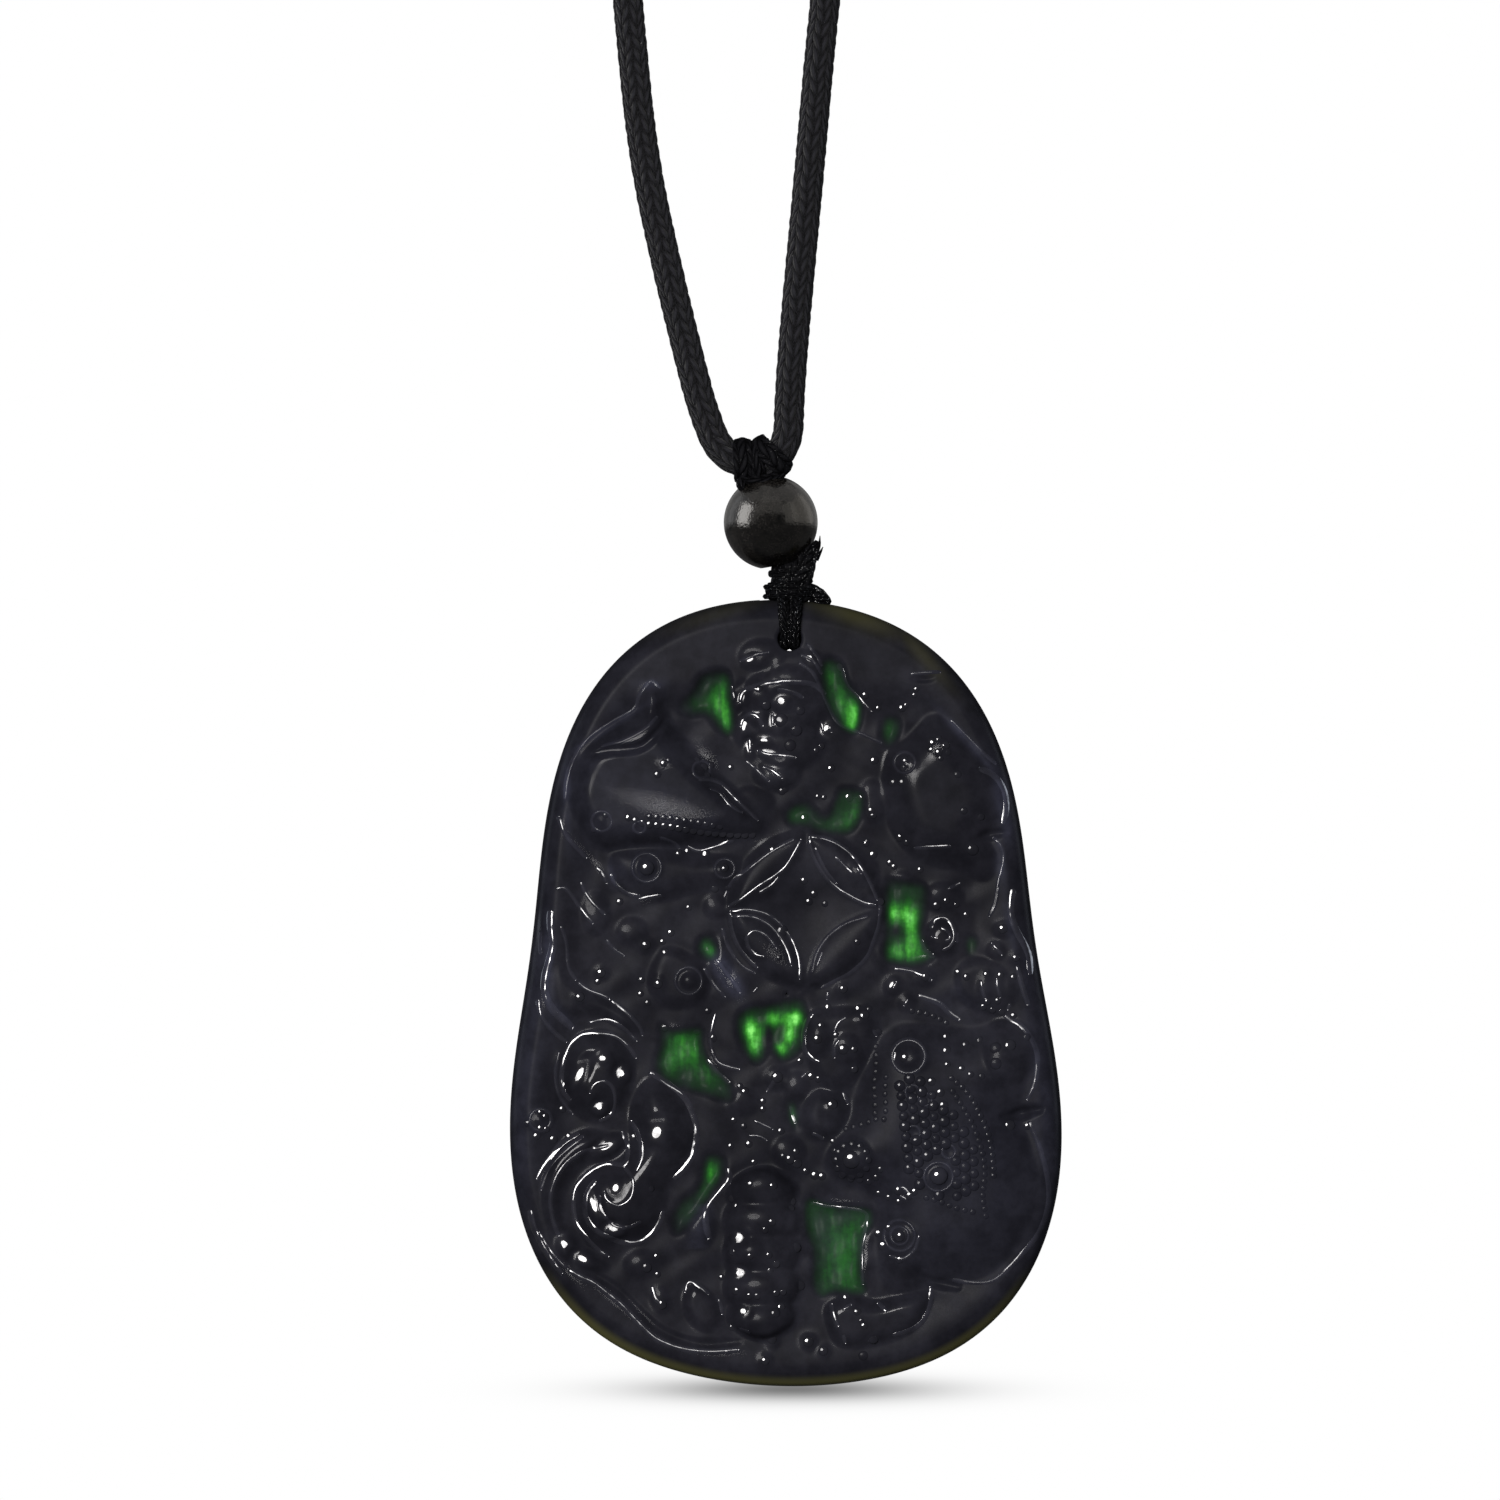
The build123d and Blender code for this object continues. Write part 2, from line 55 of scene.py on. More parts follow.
mm = 0.001

# Everything below is in the CAD frame, in metres: x to the right, y away from the viewer, z up, origin where
# the cord hangs. The carving is drawn on a sheet whose unit is 0.0762 mm, x to the right and y down.
drawing = {"unit": 0.0762 * mm, "hangX": 786.0, "plaqueY": 993.0, "frameZ": -248.6 * mm}
plaqueMiddleZ = -324.29 * mm


def report(stage):
    print("stage:", stage)


def onSheet(x, y):
    # Place of a point of the drawing in the CAD frame, x and z in metres.
    return (x - drawing["hangX"]) * drawing["unit"], drawing["frameZ"] - y * drawing["unit"]


# Camera: straight at the front, framing 114.3 mm
view = {"middle": (-2.74 * mm, -305.75 * mm), "distance": 0.85, "width": 114.3 * mm, "sensor": 36.0,
        "clip": (0.01, 20.0)}
cameraData = bpy.data.cameras.new("camera")
cameraData.sensor_width = view["sensor"]
cameraData.lens = view["sensor"] * view["distance"] / view["width"]
cameraData.clip_start, cameraData.clip_end = view["clip"]
camera = bpy.data.objects.new("camera", cameraData)
bpy.context.scene.collection.objects.link(camera)
camera.location = (view["middle"][0], -view["distance"], view["middle"][1])
camera.rotation_euler = (math.pi / 2, 0.0, 0.0)
bpy.context.scene.camera = camera
bpy.context.scene.view_settings.view_transform = "Standard"  # white stays white, as in a shop photograph

# Key lamp, and how far the stone's lean changes across a spot that mirrors all of it
keyLamp = {"place": (-0.18, -0.79, -0.18), "size": (0.29, 0.29), "spread": 0.177}
report("camera")


# Meshes and lines from arrays

def meshPiece(name, places, loops, material, attributes=None, uv=None):
    # One object from an array of places and a list of face arrays, each with its own number of corners.
    counts = np.concatenate([np.full(len(faces), faces.shape[1]) for faces in loops])
    corners = np.concatenate([faces.ravel() for faces in loops]).astype(np.int32)
    mesh = bpy.data.meshes.new(name)
    mesh.vertices.add(len(places))
    mesh.vertices.foreach_set("co", np.asarray(places, np.float32).ravel())
    mesh.loops.add(len(corners))
    mesh.loops.foreach_set("vertex_index", corners)
    mesh.polygons.add(len(counts))
    mesh.polygons.foreach_set("loop_start", np.concatenate([[0], np.cumsum(counts)[:-1]]).astype(np.int32))
    mesh.update(calc_edges=True)
    mesh.polygons.foreach_set("use_smooth", np.ones(len(counts), bool))
    for label, values in (attributes or {}).items():
        layer = mesh.attributes.new(label, "FLOAT", "POINT")
        layer.data.foreach_set("value", np.asarray(values, np.float32))
    if uv is not None:
        layer = mesh.uv_layers.new(name="along")
        layer.data.foreach_set("uv", np.asarray(uv, np.float32).ravel())
    mesh.validate()
    mesh.materials.append(material)
    piece = bpy.data.objects.new(name, mesh)
    bpy.context.scene.collection.objects.link(piece)
    return piece


def gridFaces(rows, columns, closedRows=False, closedColumns=False):
    # Quads of a grid of rows x columns numbers, joined round where a way is closed.
    i = np.arange(rows if closedRows else rows - 1)
    j = np.arange(columns if closedColumns else columns - 1)
    i, j = [a.ravel() for a in np.meshgrid(i, j, indexing="ij")]
    nextI, nextJ = (i + 1) % rows, (j + 1) % columns
    return np.stack([i * columns + j, nextI * columns + j, nextI * columns + nextJ, i * columns + nextJ], 1)


def ringFaces(rings):
    # Quads between each closed ring of numbers and the next.
    return [np.stack([outer, inner, np.roll(inner, -1), np.roll(outer, -1)], axis=1)
            for outer, inner in zip(rings[:-1], rings[1:])]


def softStep(value):
    value = np.clip(value, 0.0, 1.0)
    return value * value * (3.0 - 2.0 * value)


def smoothLine(points, steps=6, closed=False):
    # Catmull-Rom line through the points: each stretch is the cubic with half the neighbours' chord as slope.
    p = np.asarray(points, float)
    if len(p) < 3 and not closed:
        return p
    if closed:
        before, start, end, after = np.roll(p, 1, 0), p, np.roll(p, -1, 0), np.roll(p, -2, 0)
    else:
        padded = np.vstack([2 * p[0] - p[1], p, 2 * p[-1] - p[-2]])
        before, start, end, after = padded[:-3], padded[1:-2], padded[2:-1], padded[3:]
    t = (np.arange(steps) / steps)[None, :, None]
    b, s, e, a = before[:, None], start[:, None], end[:, None], after[:, None]
    curve = 0.5 * (2 * s + (e - b) * t + (2 * b - 5 * s + 4 * e - a) * t**2 + (3 * s - b - 3 * e + a) * t**3)
    curve = curve.reshape(-1, p.shape[1])
    return curve if closed else np.vstack([curve, p[-1:]])


def lengthsTo(line):
    # Length from the start of a line to each of its points, whose first two or three columns are their place.
    return np.concatenate([[0.0], np.cumsum(np.linalg.norm(np.diff(line[:, :3], axis=0), axis=1))])


def pointsAt(line, stations):
    # All columns of a line at these lengths along it.
    length = lengthsTo(line)
    return np.stack([np.interp(stations, length, column) for column in line.T], axis=1)


# Shader node groups and materials

class Nodes:
    # Short names for adding and joining shader nodes in a tree.
    def __init__(self, tree):
        self.tree = tree

    def give(self, node, inputs):
        # An input takes a link from another node's output, or else a value of its own.
        for key, value in inputs.items():
            if isinstance(value, bpy.types.NodeSocket):
                self.tree.links.new(value, node.inputs[key])
            else:
                node.inputs[key].default_value = value

    def add(self, kind, inputs=None, **settings):
        node = self.tree.nodes.new(kind)
        for key, value in settings.items():
            setattr(node, key, value)
        self.give(node, inputs or {})
        return node

    def maths(self, operation, *values, clamp=False):
        inputs = dict(enumerate(values))
        return self.add("ShaderNodeMath", inputs, operation=operation, use_clamp=clamp).outputs[0]

    def plus(self, first, second):
        return self.maths("ADD", first, second)

    def times(self, first, second):
        return self.maths("MULTIPLY", first, second)

    def mixColour(self, share, first, second):
        return self.add("ShaderNodeMix", {0: share, 6: first, 7: second}, data_type="RGBA").outputs[2]

    def spread(self, value, low, high, newLow=0.0, newHigh=1.0):
        inputs = {"Value": value, "From Min": low, "From Max": high, "To Min": newLow, "To Max": newHigh}
        return self.add("ShaderNodeMapRange", inputs).outputs["Result"]

    def noise(self, place, scale, detail, roughness=0.5):
        inputs = {"Vector": place, "Scale": scale, "Detail": detail, "Roughness": roughness}
        return self.add("ShaderNodeTexNoise", inputs).outputs["Fac"]

    def bump(self, height, strength, distance, **more):
        inputs = {"Height": height, "Strength": strength, "Distance": distance, **more}
        return self.add("ShaderNodeBump", inputs).outputs[0]

    def place(self):
        return self.add("ShaderNodeTexCoord").outputs["Object"]

    def attribute(self, name):
        return self.add("ShaderNodeAttribute", attribute_name=name).outputs["Fac"]


def newGroup(name, inputs, outputs):
    # A group whose inputs, with their usual values, and outputs are all plain numbers.
    tree = bpy.data.node_groups.new(name, "ShaderNodeTree")
    for label, value in inputs.items():
        tree.interface.new_socket(label, in_out="INPUT", socket_type="NodeSocketFloat").default_value = value
    for label in outputs:
        tree.interface.new_socket(label, in_out="OUTPUT", socket_type="NodeSocketFloat")
    n = Nodes(tree)
    return n, n.add("NodeGroupInput").outputs, n.add("NodeGroupOutput")


def emptyTree(owner):
    # The node tree of a material or world, with nothing in it.
    owner.use_nodes = True
    owner.node_tree.nodes.clear()
    return Nodes(owner.node_tree)


def newMaterial(name):
    material = bpy.data.materials.new(name)
    n = emptyTree(material)
    shader = n.add("ShaderNodeBsdfPrincipled")
    n.add("ShaderNodeOutputMaterial", {"Surface": shader.outputs[0]})
    return material, n, shader


def polishGroup():
    # Faint cloudiness and fine grain of ground stone, and a roughness that follows both.
    inputs = {"Cloud Size": 0.004, "Grain Size": 0.0002, "Roughness Low": 0.1, "Roughness High": 0.3}
    n, given, result = newGroup("stone polish", inputs, ["Cloud", "Roughness", "Height"])
    place = n.place()
    cloud = n.noise(place, n.maths("DIVIDE", 1.0, given["Cloud Size"]), 4.0, 0.6)
    grain = n.noise(place, n.maths("DIVIDE", 1.0, given["Grain Size"]), 2.0)
    mixed = n.plus(n.times(cloud, 0.6), n.times(grain, 0.4))
    rough = n.spread(mixed, 0.35, 0.65, given["Roughness Low"], given["Roughness High"])
    n.give(result, {"Cloud": cloud, "Roughness": rough, "Height": grain})
    return n.tree


# Braid: columns of slanting stitches round the cord, leaning left and right by turns. The columns sway and
# the stitches drift a little along it. The shader and the meshes share these numbers.
weave = {
    "slant": 1.05,
    "sway": 0.10, "swayTurn": 2.3, "swayStart": 1.0,
    "drift": 0.14, "driftAlong": 0.9, "driftRound": 12.0,
    "stitchPower": 0.6, "columnPower": 0.45,
    "fibres": 5.0, "fibreRise": 0.12,
    # Colours: painted shade in the gaps between stitches, the stitches' own colour, and a painted sheen on
    # the fibre crests
    "gapShadeColour": (0.0004, 0.0004, 0.0006), "stitchColour": (0.0100, 0.0100, 0.0120),
    "fibreSheenColour": (0.020, 0.020, 0.023),
}


def braidGroup():
    n, given, result = newGroup(
        "braid stitches", {"Columns": 10.0, "Slant": 0.9, "Lint": 0.4, "Lint Scale": 9000.0},
        ["Stitch", "Fibre", "Height"])
    place = n.add("ShaderNodeUVMap", uv_map="along").outputs[0]
    turn, along, _ = n.add("ShaderNodeSeparateXYZ", {0: place}).outputs
    sway = n.maths("SINE", n.plus(n.times(along, weave["swayTurn"]), weave["swayStart"]))
    column = n.plus(n.times(turn, given["Columns"]), n.times(sway, weave["sway"]))
    drift = n.maths("SINE", n.plus(n.times(along, weave["driftAlong"]), n.times(turn, weave["driftRound"])))
    across = n.maths("FRACT", column)
    lean = n.maths("SUBTRACT", n.times(n.maths("MODULO", n.maths("FLOOR", column), 2.0), 2.0), 1.0)
    slope = n.times(n.times(n.maths("SUBTRACT", across, 0.5), given["Slant"]), lean)
    phase = n.plus(n.plus(along, n.times(drift, weave["drift"])), slope)
    stitch = n.maths("ABSOLUTE", n.maths("SINE", n.times(phase, math.pi)))
    side = n.maths("SINE", n.times(across, math.pi))
    back = n.maths("POWER", side, weave["columnPower"])
    form = n.times(n.maths("POWER", stitch, weave["stitchPower"]), back)
    strands = n.times(n.maths("FRACT", phase), weave["fibres"])
    fibre = n.maths("ABSOLUTE", n.maths("SINE", n.times(strands, math.pi)))
    lint = n.noise(n.place(), given["Lint Scale"], 3.0)
    height = n.plus(form, n.times(n.times(fibre, form), weave["fibreRise"]))
    height = n.plus(height, n.times(lint, given["Lint"]))
    n.give(result, {"Stitch": form, "Fibre": n.times(fibre, lint), "Height": height})
    return n.tree


polish = polishGroup()
braid = braidGroup()

# Stone: colours, the greens of the painted glow that stands in for light coming through, and the sizes of
# streaks, specks, wear and dust
stoneLook = {
    "body": (0.0062, 0.0062, 0.0084, 1.0), "cloud": (0.0106, 0.0106, 0.0142, 1.0),
    # pale: paler tone, mostly used as a painted sheen and painted rim light
    "shade": (0.0022, 0.0022, 0.0031, 1.0), "pale": (0.0165, 0.0172, 0.0260, 1.0),
    # edge: brown at the rim, on the crown also a painted sheen
    "edge": (0.060, 0.058, 0.022, 1.0),
    "paintedGlowGreens": [(0.0, (0.0, 0.0, 0.0, 1.0)), (0.2, (0.002, 0.030, 0.001, 1.0)),
               (0.4, (0.010, 0.11, 0.006, 1.0)), (0.6, (0.035, 0.27, 0.016, 1.0)),
               (0.8, (0.11, 0.55, 0.07, 1.0)), (1.0, (0.28, 0.92, 0.18, 1.0))],
    "polish": {"Cloud Size": 0.006, "Grain Size": 0.00016, "Roughness Low": 0.26, "Roughness High": 0.36},
    "streakStretch": (1.0, 0.2, 0.16), "streakScale": 1500.0, "streakLight": (0.72, 1.26),
    "speckScale": 2600.0, "speckLight": (-0.14, 0.14),
    "veilScale": 620.0, "veilShare": 0.45, "wearScale": 2200.0, "dustScale": 11000.0,
    "grainHeight": 0.003 * mm, "dustHeight": 0.045 * mm, "grainCoat": 0.4,
}


def stoneMaterial():
    look = stoneLook
    material, n, shader = newMaterial("carved jade")
    ground = n.add("ShaderNodeGroup", look["polish"], node_tree=polish).outputs
    glow, toneAndSheen, edge, shine, grain = map(n.attribute, ("glow", "toneAndSheen", "edge", "polish", "grain"))
    place = n.place()
    # Painted glow, as emission, for the light that comes through the thin cells, streaked and specked
    upright = n.add("ShaderNodeMapping", {"Vector": place, "Scale": look["streakStretch"]}).outputs[0]
    streaks = n.spread(n.noise(upright, look["streakScale"], 3.0), 0.3, 0.7, *look["streakLight"])
    specks = n.spread(n.noise(place, look["speckScale"], 2.0), 0.3, 0.7, *look["speckLight"])
    ramp = n.add("ShaderNodeValToRGB", {0: n.times(glow, n.plus(streaks, specks))})
    stops = ramp.color_ramp.elements
    stops[0].color, stops[1].color = look["paintedGlowGreens"][0][1], look["paintedGlowGreens"][-1][1]
    for position, colour in look["paintedGlowGreens"][1:-1]:
        stops.new(position).color = colour
    # Colour of the stone: clouds, paler patches that are mostly a painted sheen and painted rim light, a dark
    # veil, and brown at the edge that on the crown is also a painted sheen
    colour = n.mixColour(n.spread(ground["Cloud"], 0.35, 0.7), look["body"], look["cloud"])
    colour = n.mixColour(toneAndSheen, colour, look["pale"])
    veil = n.noise(place, look["veilScale"], 6.0, 0.65)
    colour = n.mixColour(n.spread(veil, 0.38, 0.62, 0.0, look["veilShare"]), colour, look["shade"])
    colour = n.mixColour(edge, colour, look["edge"])
    # Polish where the carving is rubbed, and dusty glints on the grainy patches
    wear = n.spread(n.noise(place, look["wearScale"], 2.0), 0.35, 0.55, 0.45, 1.0)
    coat = n.maths("ADD", n.times(shine, wear), n.times(grain, look["grainCoat"]), clamp=True)
    dust = n.noise(place, look["dustScale"], 4.0, 0.7)
    fine = n.bump(ground["Height"], 0.25, look["grainHeight"])
    normal = n.bump(n.times(grain, dust), 1.0, look["dustHeight"], Normal=fine)
    n.give(shader, {
        "Base Color": colour, "Roughness": ground["Roughness"], "IOR": 1.6, "Specular IOR Level": 0.008,
        "Emission Color": ramp.outputs["Color"], "Emission Strength": 1.0,
        "Coat Weight": coat, "Coat Roughness": 0.06, "Coat IOR": 1.5,
        "Normal": normal, "Coat Normal": normal})
    return material


# Braid finishes: columns and height of the stitches, strength and rarity of glints, lint, how light the
# colours are, sheen
braidLooks = {
    "neck braid": {"columns": 12.0, "height": 0.16 * mm, "glints": 0.30, "rare": 0.16, "lint": 0.35,
                   "lintScale": 9000.0, "lightness": 1.0, "sheen": 0.05},
    "thin braid": {"columns": 6.0, "height": 0.12 * mm, "glints": 0.30, "rare": 0.10, "lint": 0.6,
                   "lintScale": 9000.0, "lightness": 0.42, "sheen": 0.0},
    "loop braid": {"columns": 6.0, "height": 0.12 * mm, "glints": 1.00, "rare": 0.03, "lint": 1.6,
                   "lintScale": 5200.0, "lightness": 0.26, "sheen": 0.0},
}
speckScale = 5200.0


def braidMaterial(name):
    look = braidLooks[name]
    material, n, shader = newMaterial(name)
    stitches = n.add("ShaderNodeGroup", {
        "Columns": look["columns"], "Slant": weave["slant"], "Lint": look["lint"],
        "Lint Scale": look["lintScale"]}, node_tree=braid).outputs
    stitch, fibre = [(*[part * look["lightness"] for part in weave[key]], 1.0)
                     for key in ("stitchColour", "fibreSheenColour")]
    # Painted shade where the stitches dip into their gaps, and a painted sheen on the fibre crests, broken up
    # by lint
    colour = n.mixColour(n.spread(stitches["Stitch"], 0.45, 1.0), (*weave["gapShadeColour"], 1.0), stitch)
    colour = n.mixColour(n.spread(stitches["Fibre"], 0.32, 0.62, 0.0, 0.6), colour, fibre)
    speck = n.spread(n.noise(n.place(), speckScale, 2.0), 0.52 + look["rare"], 0.62 + look["rare"])
    normal = n.bump(stitches["Height"], 0.9, look["height"])
    n.give(shader, {
        "Base Color": colour, "Roughness": n.spread(stitches["Fibre"], 0.0, 0.8, 0.68, 0.42),
        "Specular IOR Level": 0.02, "Sheen Weight": look["sheen"], "Sheen Roughness": 0.5,
        "Coat Weight": n.times(speck, look["glints"]), "Coat Roughness": 0.12,
        "Normal": normal, "Coat Normal": normal})
    return material


agateLook = {
    "dark": (0.001, 0.0009, 0.0009, 1.0), "pale": (0.026, 0.024, 0.0225, 1.0), "grainHeight": 0.020 * mm,
    "polish": {"Cloud Size": 0.0012, "Grain Size": 0.00016, "Roughness Low": 0.05, "Roughness High": 0.15},
}


def beadMaterial():
    look = agateLook
    material, n, shader = newMaterial("black agate")
    ground = n.add("ShaderNodeGroup", look["polish"], node_tree=polish).outputs
    mottle = n.plus(n.times(ground["Cloud"], 0.45), n.times(ground["Height"], 0.55))
    n.give(shader, {
        "Base Color": n.mixColour(n.spread(mottle, 0.38, 0.62), look["dark"], look["pale"]),
        "Roughness": ground["Roughness"], "IOR": 1.62,
        "Normal": n.bump(ground["Height"], 1.0, look["grainHeight"])})
    return material


stoneFinish = stoneMaterial()
beadFinish = beadMaterial()
cordFinish, thinFinish, loopFinish = [braidMaterial(name) for name in braidLooks]
report("materials")


# Neck cord: a braided tube along one smooth line, denser where it is seen close by
neckCord = {
    # x and z in millimetres of the line's control points: up the left leg, round the top, down the right leg
    "route": [
        (-2.9, -284.1), (-5.1, -283.0), (-6.3, -279.9), (-7.1, -277.0), (-9.0, -269.3), (-10.9, -260.5),
        (-11.95, -250.0), (-13.3, -234.0), (-15.4, -205.0), (-19.8, -155.0), (-23.7, -100.0),
        (-26.3, -50.0), (-27.3, -22.0), (-21.0, -8.2), (-7.8, 0.0), (7.8, 0.0), (21.0, -8.2),
        (27.5, -22.0), (25.6, -50.0), (21.0, -100.0), (14.8, -155.0), (8.3, -205.0), (4.6, -234.0),
        (2.75, -250.5), (1.75, -262.0), (0.75, -272.5), (0.25, -279.0), (0.2, -282.2), (-1.0, -283.75),
    ],
    "diameter": 2.3 * mm,
    "columns": 12,
    "pitch": 1.05 * mm,
    "stitchHeight": 0.14 * mm,
    "around": 48,
    "closeSteps": 10,
    "farSteps": 2,
    "closeTo": -246.0 * mm,
}


def splineLine(points, resolution=24):
    # Points of the NURBS line whose control points these are, as Blender works it out.
    curve = bpy.data.curves.new("route", "CURVE")
    curve.dimensions = "3D"
    curve.resolution_u = resolution
    spline = curve.splines.new("NURBS")
    spline.points.add(len(points) - 1)
    for target, point in zip(spline.points, points):
        target.co = (*point, 1.0)
    spline.order_u = 3
    spline.use_endpoint_u = True
    holder = bpy.data.objects.new("route", curve)
    bpy.context.scene.collection.objects.link(holder)
    mesh = bpy.data.meshes.new_from_object(holder)
    line = np.empty(len(mesh.vertices) * 3)
    mesh.vertices.foreach_get("co", line)
    bpy.data.objects.remove(holder)
    bpy.data.meshes.remove(mesh)
    return line.reshape(-1, 3)


def stitchForm(turn, along, columns):
    # Height of the braid, 0 to 1: a column's round back times the stitches' round backs.
    column = turn * columns + weave["sway"] * np.sin(weave["swayTurn"] * along + weave["swayStart"])
    along = along + weave["drift"] * np.sin(weave["driftAlong"] * along + weave["driftRound"] * turn)
    across = column - np.floor(column)
    lean = np.mod(np.floor(column), 2.0) * 2.0 - 1.0
    phase = along + (across - 0.5) * weave["slant"] * lean
    return np.abs(np.sin(np.pi * phase))**weave["stitchPower"] * np.sin(np.pi * across)**weave["columnPower"]


def tubeUV(rows, columns, rowValues, closedRows):
    # Corner coordinates of a tube's quads: share of a turn, and stitches along.
    i = np.arange(rows if closedRows else rows - 1)
    j = np.arange(columns)
    i, j = [a.ravel() for a in np.meshgrid(i, j, indexing="ij")]
    u0, u1 = j / columns, (j + 1) / columns
    v0, v1 = rowValues[i], rowValues[i + 1]
    return np.stack([np.stack(corner, 1) for corner in ((u0, v0), (u0, v1), (u1, v1), (u1, v0))], 1)


def makeNeckCord():
    # Tube round the route: place + radius * (cos turn * side + sin turn * depth), raised by stitches.
    route = neckCord["route"]
    foot = ((route[0][0] + route[-1][0]) / 2, (route[0][1] + route[-1][1]) / 2)
    line = splineLine([(x * mm, 0.0, z * mm) for x, z in [foot, *route, foot]])
    full = lengthsTo(line)[-1]
    pitch = full / round(full / neckCord["pitch"])
    fine = np.arange(0.0, full, pitch / neckCord["closeSteps"])
    close = pointsAt(line, fine)[:, 2] < neckCord["closeTo"]
    coarse = np.arange(len(fine)) % (neckCord["closeSteps"] // neckCord["farSteps"]) == 0
    stations = fine[close | coarse]
    stations = stations[stations < full - pitch / 20]
    inside = np.clip(stations, 1e-4, full - 1e-4)
    way = pointsAt(line, inside + 1e-4) - pointsAt(line, inside - 1e-4)
    way /= np.linalg.norm(way, axis=1, keepdims=True)
    around = neckCord["around"]
    turn = np.arange(around) / around
    depth = np.array([0.0, 1.0, 0.0])
    side = np.cross(way, depth)
    along = stations / pitch
    form = stitchForm(turn[None, :] + 0.25 / around, along[:, None], neckCord["columns"])
    radius = neckCord["diameter"] / 2 + neckCord["stitchHeight"] * (form - 0.75)
    angle = 2 * np.pi * turn
    skin = (pointsAt(line, inside)[:, None] + radius[..., None]
            * (np.cos(angle)[None, :, None] * side[:, None] + np.sin(angle)[None, :, None] * depth))
    faces = gridFaces(len(stations), around, closedRows=True, closedColumns=True)
    uv = tubeUV(len(stations), around, np.append(along, round(full / pitch)), closedRows=True)
    print("neck braid length", round(full, 4), "faces", len(faces))
    return meshPiece("neck_braid", skin.reshape(-1, 3), [faces], cordFinish, uv=uv)


neckBraid = makeNeckCord()
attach(neckBraid, "root")
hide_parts("neck_cord")
report("neck cord")


# Carved plaque: the outline's sizes, the same as the solid's, and the mesh's
plaque = {
    "width": 42.0 * mm,
    "height": 60.2 * mm,
    "cosines": [(0, 0.0212), (1, -0.0060), (2, -0.0185), (4, -0.0522), (6, -0.0080)],
    "sines": [(1, -0.0344), (2, -0.0082), (3, -0.0466), (5, -0.0113)],
    "rimRound": 1.7 * mm,
    "groundEdge": 3.0 * mm,
    "crownZ": 24.0 * mm,
    "backLevel": 2.6 * mm,
    "backRound": 1.1 * mm,
    "backRings": 6,
    "columns": 244,
    "rows": 350,
    "hole": (0.27 * mm, 26.98 * mm),
    "holeRadius": 0.90 * mm,
    "holeRound": 0.20 * mm,
    "holeBlock": 8,
    "holeEase": 2.4,
    "brownEdge": {"wide": 1.0 * mm, "below": -20.0 * mm, "fade": 6.0 * mm},
}

# Relief of the front, drawn point by point. Rises and levels are in millimetres above the stone's middle.
# Ground: level at the rim, sinking inside it, unevenness, and the blurs of the forms, of the whole, of the
# glow and of the polish
ground = {"level": 2.1, "sink": 0.25, "uneven": 0.05, "formBlur": 1.6, "lastBlur": 0.9, "glowBlur": 1.0,
          "polishBlur": 2.0}

